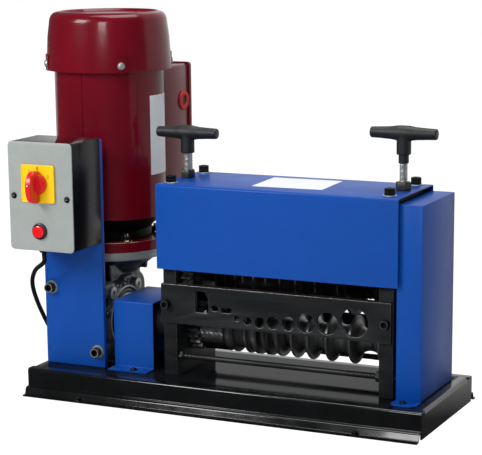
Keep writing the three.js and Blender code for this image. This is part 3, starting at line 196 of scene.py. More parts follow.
ROUND_GRIP = 0.55  # share of the way to the corner at which a Bezier handle makes a round bend


def folded(path, thickness, bend, steps=8):
    """The outline of a folded sheet from its middle line."""
    corners = [Vector(p) for p in path]
    line = [corners[0]]
    for before, corner, after in zip(corners, corners[1:], corners[2:]):
        arriving, leaving = (corner - before).normalized(), (after - corner).normalized()
        back = bend * tan(arriving.angle(leaving) / 2)
        start, end = corner - arriving * back, corner + leaving * back
        grip = back * ROUND_GRIP
        handles = [start, start + arriving * grip, end - leaving * grip, end]
        line += [p.to_2d() for p in interpolate_bezier(*(h.to_3d() for h in handles), steps)]
    line.append(corners[-1])
    left, right = [], []
    for before, here, after in zip([line[0], *line[:-1]], line, [*line[1:], line[-1]]):
        way = (after - before).normalized()
        side = Vector((-way.y, way.x)) * thickness / 2
        left.append(tuple(here + side))
        right.append(tuple(here - side))
    return left + right[::-1]


def wrapped(centre, radius, angles, z, thickness, steps=48):
    """A sheet bent round a vertical cylinder, between two angles in degrees."""
    outer = arc(centre, radius + thickness, *angles, steps)
    inner = arc(centre, radius, *angles, steps)
    return pulled("z", [outer + inner[::-1]], *z, 0)


def strand(points, radius, sides=16, steps=6):
    """A round cord along a smooth curve through the points, with flat ends."""
    curve = bpy.data.curves.new("strand", "CURVE")
    curve.dimensions, curve.use_fill_caps = "3D", True
    curve.bevel_depth, curve.bevel_resolution = radius, sides // 4
    spline = curve.splines.new("POLY")
    line = catmull(points, steps)
    spline.points.add(len(line) - 1)
    for point, co in zip(spline.points, line):
        point.co = (*co, 1)
    return skin(curve)


def catmull(points, steps):
    """Points on a centripetal curve through the given ones."""
    given = [Vector(p) for p in points]
    given = [given[0] * 2 - given[1], *given, given[-1] * 2 - given[-2]]
    line = []
    for a, b, c, d in zip(given, given[1:], given[2:], given[3:]):
        t0, t1 = 0, sqrt((b - a).length)
        t2 = t1 + sqrt((c - b).length)
        t3 = t2 + sqrt((d - c).length)
        for k in range(steps):
            t = t1 + (t2 - t1) * k / steps
            ab = a.lerp(b, (t - t0) / (t1 - t0))
            bc = b.lerp(c, (t - t1) / (t2 - t1))
            cd = c.lerp(d, (t - t2) / (t3 - t2))
            before, after = ab.lerp(bc, (t - t0) / (t2 - t0)), bc.lerp(cd, (t - t1) / (t3 - t1))
            line.append(before.lerp(after, (t - t1) / (t2 - t1)))
    return [*line, given[-2]]


def gear(axis, centre, teeth, module, first, start, end, bore, backlash=0.5):
    """A spur gear with involute teeth, the first one at an angle in degrees."""
    pitch, pressure = teeth * module / 2, radians(20)
    root, tip, base = pitch - 1.25 * module, pitch + module, pitch * cos(pressure)
    at_pitch = pi / (2 * teeth) - backlash / (2 * pitch) + tan(pressure) - pressure

    def half(radius):
        rolled = sqrt(max((radius / base) ** 2 - 1, 0))
        return at_pitch - (rolled - atan2(rolled, 1))

    flank = [root, max(base, root + 0.3), *(base + (tip - base) * k / 4 for k in (1, 2, 3)), tip - 0.3, tip]
    outline = []
    for k in range(teeth):
        tooth = radians(first) + 2 * pi * k / teeth
        sides = [(r, tooth - half(r)) for r in flank] + [(r, tooth + half(r)) for r in flank[::-1]]
        outline += [(centre[0] + r * cos(a), centre[1] + r * sin(a)) for r, a in sides]
    return pulled(axis, [outline, circle(centre, bore)], start, end, 0.4)


def fused(shape, voxel, rounds):
    """Melts overlapping solids into one skin with soft inner corners, as a casting or a moulding has."""
    obj = bpy.data.objects.new("fused", raw_mesh("fused", shape))
    bpy.context.scene.collection.objects.link(obj)
    remesh = obj.modifiers.new("skin", "REMESH")
    remesh.mode, remesh.voxel_size = "VOXEL", voxel * MM
    smooth = obj.modifiers.new("soften", "SMOOTH")
    smooth.factor, smooth.iterations = 0.5, rounds
    mesh = evaluated(obj)
    shape = [tuple((v.co - ORIGIN) / MM) for v in mesh.vertices], [list(p.vertices) for p in mesh.polygons]
    bpy.data.meshes.remove(mesh)
    return shape


def evaluated(obj):
    """The mesh that an object's modifiers give; the object is used up."""
    mesh = bpy.data.meshes.new_from_object(obj.evaluated_get(bpy.context.evaluated_depsgraph_get()))
    bpy.data.objects.remove(obj)
    return mesh


def raw_mesh(name, shape):
    mesh = bpy.data.meshes.new(name)
    mesh.from_pydata([tuple(Vector(p) * MM + ORIGIN) for p in shape[0]], [], shape[1])
    work = bmesh.new()
    work.from_mesh(mesh)
    bmesh.ops.remove_doubles(work, verts=work.verts, dist=WELD)
    bmesh.ops.recalc_face_normals(work, faces=work.faces)
    work.to_mesh(mesh)
    work.free()
    return mesh


def finished(name, mesh, finish, body, nodes=(), sharp=32):
    """Links a mesh as a piece that rides on a body and stands for the CAD nodes it replaces."""
    mesh.polygons.foreach_set("use_smooth", [True] * len(mesh.polygons))
    mesh.set_sharp_from_angle(angle=radians(sharp))
    obj = bpy.data.objects.new(name, mesh)
    bpy.context.scene.collection.objects.link(obj)
    mesh.materials.clear()
    mesh.materials.append(material(finish))
    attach(obj, body)
    if nodes:
        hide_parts(*nodes)
    return obj


def piece(name, shape, finish, body="machine_frame", nodes=(), sharp=32):
    return finished(name, raw_mesh(name, shape), finish, body, nodes, sharp)


def highlight_rims(obj, finish, axis, low=0.25, high=0.93):
    """Gives the rounded rims of a flat plate a second finish: faces that lean away from the axis."""
    obj.data.materials.append(material(finish))
    k = "xyz".index(axis)
    for face in obj.data.polygons:
        if low < abs(face.normal[k]) < high:
            face.material_index = 1
    return obj


# Materials


def linear(code):
    """An sRGB hex colour as the linear colour that the shaders use."""
    parts = [int(code[k : k + 2], 16) / 255 for k in (1, 3, 5)]
    return [c / 12.92 if c <= 0.04045 else ((c + 0.055) / 1.055) ** 2.4 for c in parts] + [1.0]


def calc(tree, operation, a, b=0.0):
    return add(tree, "ShaderNodeMath", {0: a, 1: b}, operation=operation).outputs[0]


def ranged(tree, value, low, high, start, end):
    """Maps a value from the reach low to high onto start to end."""
    limits = {"From Min": low, "From Max": high, "To Min": start, "To Max": end}
    return add(tree, "ShaderNodeMapRange", {0: value, **limits}).outputs[0]


def add(tree, kind, links=None, **settings):
    """Adds a node with its settings; links gives sockets by name or number a value or another socket."""
    node = tree.nodes.new(kind)
    for key, value in settings.items():
        setattr(node, key, value)
    for key, value in (links or {}).items():
        if isinstance(value, bpy.types.NodeSocket):
            tree.links.new(value, node.inputs[key])
        else:
            node.inputs[key].default_value = value
    return node


def paint(slot, colour, second, rough, mottle, grain, **more):
    """A finish for a slot of the record, mottled with a second colour.

    mottle is (size in mm, contrast) and grain is (size, height) in mm. Among more, stretch runs both
    along an axis, and haze is how much rougher the mottle makes the finish.
    """
    return dict(slot=slot, colour=colour, second=second, rough=rough, mottle=mottle, grain=grain, **more)


FINISHES = {
    # Polyester powder, oven cured: an even colour with a faint orange peel that breaks the highlights
    "blue powder coat": paint("blue_paint", "#07489f", "#064194", 0.34, (60, 0.5), (2.2, 0.012), gloss=0.2),
    # Black stoving enamel of the rails, deep and mirror-like
    "black stove enamel": paint(
        "black_gloss", "#08090a", "#101214", 0.12, (45, 0.6), (9, 0.01), coat=0.3, haze=0.12
    ),
    # The same enamel, darker and too dull to mirror anything: painted shade for the bell in the shade of the
    # motor
    "bell enamel with painted shade": paint("black_gloss", "#060606", "#0b0b0c", 0.4, (30, 0.6), (9, 0.01), gloss=0.1),
    # The same enamel on the deck, mottled with lighter streaks along x, with its gloss turned down
    "streaked black deck": paint(
        "black_gloss", "#0a0b0c", "#1d1f22", 0.05, (34, 1.0), (9, 0.02), gloss=0.03, stretch=(0.12, 1, 1),
        haze=0.06
    ),
    # Brushed-on wine red enamel over sheet steel: glossy, with slow waves in the highlights
    "wine red enamel": paint(
        "wine_paint", "#6e081b", "#580513", 0.2, (70, 0.6), (16, 0.05), gloss=0.2, coat=0.26
    ),
    # Black enamelled sheet of the switch box
    "black box enamel": paint(
        "black_shell", "#0b0c0e", "#131517", 0.22, (40, 0.5), (2.5, 0.01), gloss=0.2, coat=0.08
    ),
    # The top of the switch box, wiped clean, which mirrors the motor
    "polished black enamel": paint(
        "black_shell", "#0b0c0e", "#0f1012", 0.06, (40, 0.5), (2.5, 0.004), coat=1.0
    ),
    # Screen-printed grey front, fine satin
    "grey satin panel": paint("grey_panel", "#9ba19e", "#8f9592", 0.42, (35, 0.5), (1.2, 0.004)),
    # Moulded ABS, semi-gloss
    "yellow moulding": paint("yellow_plate", "#f7cd00", "#ecbf00", 0.3, (25, 0.4), (1.6, 0.006)),
    "red moulding": paint("red_knob", "#e21020", "#c80a18", 0.26, (18, 0.5), (1.4, 0.006), coat=0.3),
    # Red acrylic of a pilot lamp, polished
    "red lens": paint("red_lens", "#f01418", "#d00a10", 0.1, (9, 0.5), (3, 0.004), coat=1.0),
    "dark bezel": paint("dark_bezel", "#26282b", "#1b1c1e", 0.3, (9, 0.5), (1.5, 0.006)),
    # Glass-filled nylon grips: matte, with the fine pebble that a spark-eroded mould leaves
    "black nylon": paint("black_grip", "#17181b", "#101113", 0.5, (14, 0.5), (0.9, 0.03)),
    # PVC jacket of the cord
    "black cord jacket": paint("cord_black", "#101113", "#1a1b1e", 0.48, (18, 0.5), (1.2, 0.02)),
    "red rubber": paint("red_rubber", "#c8201f", "#a81818", 0.55, (8, 0.5), (1, 0.02)),
    # Hot-rolled flat bar, blackened and oiled: scale patches and long drawing streaks
    "blackened bar": paint(
        "black_steel", "#2d2f32", "#161719", 0.42, (26, 0.9), (3.5, 0.04), metallic=0.5,
        stretch=(0.25, 1, 1.4), haze=0.16
    ),
    # The same bar with its rims painted bright, as a painted highlight
    "painted rim highlight": paint("black_steel", "#8a8d8f", "#3c3e40", 0.35, (5, 1.0), (2, 0.02), metallic=0.9),
    # Oily brown film on the plate's top edge
    "oiled brown edge": paint(
        "black_steel", "#4a3d36", "#262120", 0.45, (24, 1.0), (4, 0.03), metallic=0.6, stretch=(0.3, 1, 1)
    ),
    # Turned steel: fine tool rings round the axis, and dark rings at random along it
    "turned steel": paint(
        "machined_steel", "#8c8d8f", "#19191a", 0.34, (9, 1.0), (1.1, 0.03), metallic=0.85,
        stretch=(1, 0.06, 0.06), haze=0.18
    ),
    "ground steel": paint(
        "machined_steel", "#b9babb", "#85878a", 0.2, (7, 0.7), (0.8, 0.01), metallic=1.0,
        stretch=(1, 0.08, 0.08)
    ),
    # Black oxide socket screws: satin black with a trace of oil
    "black oxide": paint("black_steel", "#17181a", "#0e0f10", 0.34, (5, 0.7), (0.8, 0.01), metallic=0.6),
    # The drums between the knives: turned, blackened and wet with oil
    "black oxide drum": paint(
        "machined_steel", "#1c1d1f", "#0f1011", 0.3, (9, 0.9), (1.1, 0.02), metallic=0.7,
        stretch=(1, 0.06, 0.06), haze=0.14
    ),
    # Bright zinc plate on bought rod, nuts and washers, slightly clouded
    "bright zinc": paint(
        "zinc_steel", "#c4c6c1", "#8d9089", 0.28, (7, 0.8), (1.5, 0.01), metallic=0.6, haze=0.12
    ),
    # Dulled zinc of the hexagon nuts
    "dull zinc": paint("zinc_steel", "#55574f", "#3a3c37", 0.4, (6, 0.9), (1.5, 0.02), metallic=0.9),
    # Yellow passivated zinc of the flange nuts
    "yellow zinc": paint("bronze", "#efe2b8", "#8f8058", 0.14, (4, 0.9), (1, 0.01), metallic=1.0),
    "machined bronze": paint("bronze", "#a98349", "#7d5f33", 0.32, (10, 0.7), (1, 0.01), metallic=1.0),
    # Sand-cast iron under black paint: coarse skin that catches small highlights
    "painted casting": paint(
        "black_cast", "#1b1c1e", "#0e0f10", 0.38, (18, 0.8), (2.4, 0.16), metallic=0.1, coat=0.2
    ),
    # The gearbox, grey black and mottled at random, its grey set darker as painted shade
    "gearbox casting": paint(
        "black_cast", "#43474d", "#16181a", 0.34, (16, 1.0), (2.4, 0.12), metallic=0.25, coat=0.2
    ),
    # Die-cast aluminium, turned on its rim
    "turned aluminium": paint(
        "cast_alloy", "#a3a7a8", "#7c8081", 0.36, (12, 0.6), (1.2, 0.02), metallic=0.35, stretch=(0.1, 0.1, 1)
    ),
    # Moulded fan and the plain steel cores inside the motor
    "black polypropylene": paint("fan_plastic", "#111214", "#1a1b1d", 0.5, (20, 0.5), (1.5, 0.01)),
    "core steel": paint(
        "machined_steel", "#6e7072", "#4b4d4f", 0.4, (5, 0.6), (0.6, 0.01), metallic=0.9,
        stretch=(0.05, 0.05, 1)
    ),
    # Bare label stock, semi-gloss white film
    "white label": paint("grey_panel", "#e9ecef", "#dfe3e8", 0.35, (22, 0.6), (5, 0.01)),
    "black mark": paint("dark_bezel", "#151515", "#0c0c0c", 0.4, (3, 0.3), (1, 0.002)),
}


def material(finish):
    """The finish's node material, made once: mottled colour, grain as bump, and haze in the roughness."""
    if finish in bpy.data.materials:
        return bpy.data.materials[finish]
    spec = FINISHES[finish]
    made = bpy.data.materials.new(finish)
    made.use_nodes = True
    tree = made.node_tree
    tree.nodes.clear()
    place = add(tree, "ShaderNodeTexCoord").outputs["Object"]
    lie = add(tree, "ShaderNodeMapping", {0: place, "Scale": spec.get("stretch", (1, 1, 1))}).outputs[0]

    def noise(size, detail, **more):
        values = {"Vector": lie, "Scale": 1 / (size * MM), "Detail": detail, **more}
        return add(tree, "ShaderNodeTexNoise", values).outputs[0]

    size, contrast = spec["mottle"]
    cloud = noise(size, 4.0, Roughness=0.55)
    share = ranged(tree, cloud, 0.35, 0.7, 0.0, contrast)
    pair = {6: tint(finish), 7: linear(spec["second"])}
    colour = add(tree, "ShaderNodeMix", {"Factor": share, **pair}, data_type="RGBA").outputs[2]
    size, height = spec["grain"]
    relief = {"Height": noise(size, 2.0), "Distance": height * MM, "Strength": 1.0}
    values = {
        "Base Color": colour,
        "Roughness": ranged(tree, cloud, 0.3, 0.75, spec["rough"], spec["rough"] + spec.get("haze", 0.06)),
        "Normal": add(tree, "ShaderNodeBump", relief).outputs[0],
        "Metallic": spec.get("metallic", 0.0),
        "Specular IOR Level": spec.get("gloss", 0.5),
        "Coat Weight": spec.get("coat", 0.0),
        "Coat Roughness": 0.06,
    }
    shader = add(tree, "ShaderNodeBsdfPrincipled", values)
    add(tree, "ShaderNodeOutputMaterial", {0: shader.outputs[0]})
    return made


# Finishes of the large pieces, whose colour the user can change, by property
CHOSEN = {
    "sheet": "blue powder coat",
    "motor": "wine red enamel",
    "rails": "black stove enamel",
    "deck": "streaked black deck",
    "plate": "yellow moulding",
}


def tint(finish):
    """The finish's main colour, linear."""
    for name, kind in CHOSEN.items():
        if kind == finish:
            return tuple(getattr(bpy.context.scene.stripper_colours, name))
    return linear(FINISHES[finish]["colour"])


def chosen(name):
    """A size that the user can change, in drawing millimetres."""
    return round(getattr(bpy.context.scene.stripper_sizes, name) / MM, 4)


# Geometry Nodes for what repeats


def new_tree(name, inputs, fill):
    """A geometry tree with named inputs, made once; fill builds it and returns its geometry."""
    if name in bpy.data.node_groups:
        return bpy.data.node_groups[name]
    tree = bpy.data.node_groups.new(name, "GeometryNodeTree")
    tree.interface.new_socket("Geometry", in_out="OUTPUT", socket_type="NodeSocketGeometry")
    for label, kind in {"Geometry": "Geometry", **inputs, "Finish": "Material"}.items():
        tree.interface.new_socket(label, in_out="INPUT", socket_type="NodeSocket" + kind)
    get = add(tree, "NodeGroupInput").outputs
    whole = add(tree, "GeometryNodeRealizeInstances", {0: fill(tree, get)})
    dressed = add(tree, "GeometryNodeSetMaterial", {"Geometry": whole.outputs[0], "Material": get["Finish"]})
    add(tree, "NodeGroupOutput", {0: dressed.outputs[0]})
    return tree


def grid_tree():
    """Repeats the incoming piece over rows and columns."""

    def fill(tree, get):
        rows, columns = (
            add(
                tree, "GeometryNodeMeshLine", {"Count": get[kind + "s"], "Offset": get[kind + " step"]},
                mode="OFFSET"
            )
            for kind in ("Row", "Column")
        )
        spots = add(
            tree, "GeometryNodeInstanceOnPoints", {"Points": rows.outputs[0], "Instance": columns.outputs[0]}
        )
        real = add(tree, "GeometryNodeRealizeInstances", {0: spots.outputs[0]})
        return add(
            tree, "GeometryNodeInstanceOnPoints", {"Points": real.outputs[0], "Instance": get["Geometry"]}
        ).outputs[0]

    inputs = {"Columns": "Int", "Rows": "Int", "Column step": "Vector", "Row step": "Vector"}
    return new_tree("repeat on a grid", inputs, fill)


def thread_tree():
    """A rod with a thread: a helix with a V section wound on a core."""

    def fill(tree, get):
        root = calc(tree, "SUBTRACT", get["Radius"], get["Depth"])
        turns = calc(tree, "DIVIDE", get["Length"], get["Lead"])
        sizes = {"Rotations": turns, "Start Radius": root, "End Radius": root, "Height": get["Length"]}
        helix = add(tree, "GeometryNodeCurveSpiral", {"Resolution": 32, **sizes}).outputs[0]
        section = add(
            tree, "GeometryNodeCurvePrimitiveCircle", {"Resolution": 4, "Radius": get["Depth"]}, mode="RADIUS"
        )
        ends = {"Profile Curve": section.outputs[0], "Fill Caps": True}
        ridge = add(tree, "GeometryNodeCurveToMesh", {"Curve": helix, **ends})
        core = add(tree, "GeometryNodeMeshCylinder", {"Vertices": 40, "Radius": root, "Depth": get["Length"]})
        lift = add(tree, "ShaderNodeCombineXYZ", {"Z": calc(tree, "MULTIPLY", get["Length"], 0.5)}).outputs[0]
        raised = add(tree, "GeometryNodeTransform", {"Geometry": core.outputs["Mesh"], "Translation": lift})
        both = add(tree, "GeometryNodeJoinGeometry", {0: raised.outputs[0]})
        tree.links.new(ridge.outputs[0], both.inputs[0])
        return both.outputs[0]

    return new_tree("threaded rod", dict.fromkeys(("Radius", "Lead", "Length", "Depth"), "Float"), fill)


def knurl_tree():
    """A knurled drum: a fine tube round x whose skin rises in diamonds."""

    def fill(tree, get):
        around = calc(
            tree, "ROUND", calc(tree, "DIVIDE", calc(tree, "MULTIPLY", get["Radius"], 2 * pi), get["Pitch"])
        )
        grid = add(
            tree, "GeometryNodeMeshGrid", {"Size X": 1.0, "Size Y": 1.0, "Vertices X": 73, "Vertices Y": 421}
        )
        at = add(
            tree, "ShaderNodeSeparateXYZ", {0: add(tree, "GeometryNodeInputPosition").outputs[0]}
        ).outputs
        x = calc(tree, "MULTIPLY", at["X"], get["Width"])
        turn = calc(tree, "MULTIPLY", at["Y"], 2 * pi)
        teeth = calc(tree, "MULTIPLY", at["Y"], around)
        down = calc(tree, "DIVIDE", x, get["Pitch"])
        ways = [calc(tree, "PINGPONG", calc(tree, kind, teeth, down), 0.5) for kind in ("ADD", "SUBTRACT")]
        rise = calc(tree, "MULTIPLY", calc(tree, "MINIMUM", *ways), calc(tree, "MULTIPLY", get["Depth"], 2.0))
        radius = calc(tree, "ADD", calc(tree, "SUBTRACT", get["Radius"], get["Depth"]), rise)
        across, up = (calc(tree, "MULTIPLY", radius, calc(tree, kind, turn)) for kind in ("COSINE", "SINE"))
        bent = add(tree, "ShaderNodeCombineXYZ", {"X": x, "Y": across, "Z": up}).outputs[0]
        placed = add(tree, "GeometryNodeSetPosition", {"Geometry": grid.outputs[0], "Position": bent})
        return add(tree, "GeometryNodeMergeByDistance", {0: placed.outputs[0], "Distance": WELD}).outputs[0]

    return new_tree("knurled drum", dict.fromkeys(("Radius", "Width", "Pitch", "Depth"), "Float"), fill)


def grown(tree, name, finish, place=(0, 0, 0), turn=(0, 0, 0), mesh=None, **values):
    """Runs a tree, on a mesh if one is given, and returns a plain mesh, turned and placed; all in mm."""
    holder = bpy.data.objects.new("holder", mesh or bpy.data.meshes.new("empty"))
    bpy.context.scene.collection.objects.link(holder)
    modifier = holder.modifiers.new("tree", "NODES")
    modifier.node_group = tree
    for socket in tree.interface.items_tree:
        key = socket.name.replace(" ", "_").lower()
        if key in values:
            value = values[key]
            if isinstance(value, tuple):
                value = [part * MM for part in value]
            elif isinstance(value, float):
                value *= MM
            modifier[socket.identifier] = value
        elif key == "finish":
            modifier[socket.identifier] = material(finish)
    made = evaluated(holder)
    made.name = name
    made.transform(Matrix.Translation(Vector(place) * MM + ORIGIN) @ spun(turn))
    return made


ONE = (1, (0, 0, 0))


def repeated(name, shape, finish, start, columns=ONE, rows=ONE, body="machine_frame", nodes=(), sharp=32):
    """Copies of a small piece on a grid, as one piece; columns and rows are (count, step)."""
    mesh = raw_mesh(name, shape)
    mesh.transform(Matrix.Translation(-ORIGIN))
    values = dict(columns=columns[0], column_step=columns[1], rows=rows[0], row_step=rows[1])
    made = grown(grid_tree(), name, finish, start, mesh=mesh, **values)
    return finished(name, made, finish, body, nodes, sharp)


def threaded(name, finish, place, turn, radius, lead, length, body="machine_frame", nodes=(), depth=0.6):
    """A threaded rod that starts at a place and runs along z before it is turned."""
    sizes = dict(radius=float(radius), lead=float(lead), length=float(length), depth=float(depth))
    return finished(name, grown(thread_tree(), name, finish, place, turn, **sizes), finish, body, nodes, 50)


# Fasteners, standing along +z from their seat


def socket_head(radius, height, seat=0.0):
    """A socket head with a knurled rim and a hexagon recess."""
    steps = [(radius - 0.25 * (k % 2), 2 * pi * k / 80) for k in range(80)]
    rim = [(r * cos(a), r * sin(a)) for r, a in steps]
    top = pulled("z", [rim, hexagon((0, 0), radius)], seat + height * 0.45, seat + height, radius * 0.08)
    base = pulled("z", [rim], seat, seat + height * 0.5, 0.1)
    return joined(top, base)


def washer(radius, bore, thickness=1.5):
    rim = [(radius - 0.3, 0), (radius, 0.3), (radius, thickness - 0.3), (radius - 0.3, thickness)]
    return turned("z", [(bore, 0), *rim, (bore, thickness)], steps=48)


def highlight_ring(radius, height, seat):
    """The thin bright ring that tools leave on the edge of a socket head."""
    top = seat + height
    return tube("z", radius - 2.2, radius - 0.9, top, top + 0.15, steps=48)


def hex_nut(flats, height, bore, axis="z", seat=0.0):
    """A nut whose corners are turned down to a chamfer."""
    body = pulled(
        axis, [hexagon((0, 0), flats * 0.985), circle((0, 0), bore, 32)], seat, seat + height, flats * 0.05
    )
    face = tube(axis, bore, flats * 0.46, seat - 0.02, seat + height + 0.05, steps=48)
    return joined(body, face)


def pan_head(radius, height):
    side = [(radius, height * 0.35), (radius * 0.8, height * 0.8), (radius * 0.45, height)]
    return turned("z", [(0, 0), (radius, 0), *side, (0, height)], steps=32)


# Base


RAILS = {"front_rail": (-1, -47), "rear_rail": (1, 219)}  # side, and the outer face of the wall
SHEET = 3.0


def build_base():
    x0, x1 = span("front_rail")[0]
    _, deck_y, deck_z = span("base_deck")
    half = SHEET / 2
    for name, (side, face) in RAILS.items():
        wall = face - side * half
        path = [(half - 18, DECK - half), (0, DECK - half), (0, 14), (9, 14), (13, half), (22, half)]
        path = [(wall + side * u, v) for u, v in path]
        rail = pulled("x", [folded(path, SHEET, 3)], x0, x1, 0.5)
        piece(name + "_dressed", rail, "black stove enamel", nodes=[name], sharp=40)
    deck = pulled("z", [rounded(span("base_deck")[0], deck_y, 0.1, 1)], *deck_z)
    piece("deck_dressed", deck, "streaked black deck", nodes=["base_deck"])
    for name, side, wall in (("base_end_left", -1, x0 + half), ("base_end_right", 1, x1 - half)):
        path = [(wall - side * 16.5, DECK - half), (wall, DECK - half), (wall, half)]
        fold = pulled("y", [folded(path, SHEET, 6)], *deck_y)
        strips = [
            pulled("x", [rounded(reach, (half, DECK - 3.8), 0.3, 1)], wall - half, wall + half)
            for reach in ((-43.2, -28), (200, 215.2))
        ]
        piece(name + "_dressed", joined(fold, *strips), "black stove enamel", nodes=[name], sharp=40)
    # Hexagon screws that hold the foot flanges down
    tip = turned("z", [(0, 3), (3, 3), (3, 5.2), (2.4, 5.8), (0, 5.8)], steps=24)
    low = joined(hex_nut(10, 4, 2, seat=1.0), washer(7, 3, 1.0), tip)
    for name, y in (("front_foot_screws", -62.5), ("rear_foot_screws", 234.5)):
        repeated(name, low, "black stove enamel", (-133, y, 3), (2, (530, 0, 0)))


# Column


def build_column():
    x, y, z = span("column_plate")
    plate = pulled("y", [rounded(x, z, 1.5)], *y, 0.8)
    piece("column_plate_dressed", plate, "blue powder coat", nodes=["column_plate"])
    for name, node in (("upper", "column_bolt_upper"), ("lower", "column_bolt_lower")):
        bx, _, bz = middle(node)
        at = dict(x=bx, y=y[0], z=bz, turn=(90, 0, 0))
        piece("column_washer_" + name, moved(washer(12, 6, 1.6), **at), "bright zinc")
        piece("column_screw_" + name, moved(socket_head(9, 12, 1.6), **at), "black oxide", nodes=[node])
        # A bright ring painted on the head's edge as its highlight
        piece("column_screw_rim_" + name, moved(highlight_ring(9, 12, 1.6), **at), "bright zinc")


# Control box


def build_control():
    x, y, z = span("control_box")
    shell = pulled("y", [rounded(x, z, 3)], y[0], y[1], 0.8)
    piece("box_shell", shell, "black box enamel", nodes=["control_box"])
    piece(
        "box_top", block((x[0] + 1, x[1] - 1), (y[0] + 1, y[1] - 1), (z[1] - 0.3, z[1] + 0.1), 0.1),
        "polished black enamel"
    )
    px, py, pz = span("control_panel")
    piece(
        "box_panel", pulled("y", [rounded(px, pz, 8, 10)], *py, 0.7), "grey satin panel",
        nodes=["control_panel"]
    )
    cross = joined(pan_head(4.6, 3.2), washer(5.6, 2, 0.8))
    # Bright bars across the black screw heads: painted highlights in their slots
    slots = [
        block((u - 2.6, u + 2.6), (py[0] - 3.3, py[0] - 3), (v - 0.5, v + 0.5), 0.1)
        for u, v in ((-230.7, 370.4), (-124, 368.4))
    ]
    piece("panel_screw_slots", joined(*slots), "bright zinc")
    repeated(
        "panel_screws", moved(cross, turn=(90, 0, 0)), "black oxide", (-230.7, py[0], 370.4),
        (2, (106.7, 0, -2))
    )
    sx, sy, sz = span("switch_plate")
    cx, cz = sum(sx) / 2, sum(sz) / 2
    rim = [rounded(sx, sz, 4, 8), rounded((sx[0] + 2.4, sx[1] - 2.4), (sz[0] + 2.4, sz[1] - 2.4), 3, 8)]
    frame_ring = pulled("y", rim, sy[0], sy[1], 0.6)
    face = pulled(
        "y", [rounded((sx[0] + 2, sx[1] - 2), (sz[0] + 2, sz[1] - 2), 3, 8)], sy[0] + 0.9, sy[1], 0.2
    )
    piece("switch_plate_dressed", joined(frame_ring, face), "yellow moulding", nodes=["switch_plate"])
    marks = []
    for text, dx, dz in (("1", -17, 22), ("0", 0, 26.5), ("2", 21, 13)):
        marks.append(moved(lettering(text, 5.5, 0.25), cx + dx, sy[0] + 0.75, cz + dz))
    piece("switch_marks", joined(*marks), "black mark")
    build_knob(cx, cz)
    build_lamp()
    gx, gy, _ = middle("box_gland")
    nut = hex_nut(20, 9, 4.3)
    cap = turned("z", [(4.2, -5), (6.5, -5), (8.4, -2.5), (8.4, 0.5), (4.2, 0.5)], steps=48)
    piece(
        "cord_gland", moved(joined(nut, cap), gx, gy, span("box_gland")[2][0] + 5), "black nylon",
        nodes=["box_gland"]
    )


EM_TO_HEIGHT = 1.4  # the font's size for each mm that its numerals are high


def lettering(text, height, depth):
    """A generic numeral as a thin solid that faces the front."""
    curve = bpy.data.curves.new("numeral", "FONT")
    curve.body, curve.align_x, curve.align_y = text, "CENTER", "CENTER"
    curve.size, curve.extrude = height * EM_TO_HEIGHT, depth / 2
    return skin(curve, lambda co: (co.x, -co.z, co.y))


def build_knob(cx, cz):
    """A round skirt and a tall fin that bows out to the front, melted together."""
    back = span("switch_plate")[1][0] - 0.3
    front = span("switch_knob")[1][0]
    skirt = turned(
        "y", [(0, 0), (19, 0), (19.2, -3), (18, -7), (14.5, -10.5), (0, -11.5)], (cx, cz), 64, back
    )
    turns = [pi * k / 24 for k in range(25)]
    bow = [(back - 9 - (back - 9.7 - front) * sin(a) ** 0.8, cz - 4 + 28.5 * cos(a)) for a in turns]
    fin = pulled("x", [[(back - 1, cz + 23), *bow, (back - 1, cz - 31)]], cx - 5.2, cx + 5.2, 1.6)
    knob = fused(joined(skirt, fin), 0.5, 3)
    piece("knob_dressed", knob, "red moulding", "switch_set", ["switch_knob"], 60)
    for name, radius, start, finish in (
        ("_rim", 2.6, front + 0.3, "black mark"), ("", 1.5, front, "white label")
    ):
        dot = tube("y", 0, radius, start, front + 2, (cx, cz + 1), 32)
        piece("knob_pointer" + name, dot, finish, "switch_set")


def build_lamp():
    x, _, z = span("lamp_bezel")
    at = (sum(x) / 2, sum(z) / 2)
    seat = span("control_panel")[1][0]
    outer = (x[1] - x[0]) / 2
    ring = [
        (10, 0), (outer, 0), (outer, -3), (outer - 0.6, -4.4), (outer - 1.8, -5), (11.5, -5), (11.2, -3),
        (10, -3)
    ]
    piece("lamp_ring", turned("y", ring, at, 64, seat), "dark bezel", nodes=["lamp_bezel"])
    dome = [(0, -2), (10.9, -2), (10.7, -8), (10.2, -9.4), (9, -10), (4.5, -10.3), (0, -10.4)]
    piece("lamp_dome", turned("y", dome, at, 64, seat), "red lens", nodes=["lamp_lens"])


def build_cord():
    gx, gy, _ = middle("box_gland")
    seat = span("control_box")[2][0]
    entry, low = 300, span("terminal_box")[2][0]
    route = [(gx, gy, seat + z) for z in (20, 0, -18, -30)]
    route += [(-232, -28, 225), (-256, 0, 190), (-254, 26, 135), (-250, 60, 92), (-248, 130, 84)]
    route += [(-240, 215, 100), (-205, 275, 160), (MOTOR_X, entry, 260)]
    route += [(MOTOR_X, entry, low - 14), (MOTOR_X, entry, low + 12)]
    cord = strand(route, chosen("cord_radius"), 20, 8)
    piece("cord_dressed", cord, "black cord jacket", nodes=["motor_lead"])
    boot = [(4, -14), (5, -14), (6.5, -3), (9, -2), (9, 0), (4, 0)]
    piece("terminal_boot", turned("z", boot, (MOTOR_X, entry), 48, low), "black nylon")


# Motor

TAB_ANGLE = -50  # the first cowl pad, in degrees from x
FLANGE_BOLTS = 83  # radius of the circle on which the flange's nuts stand


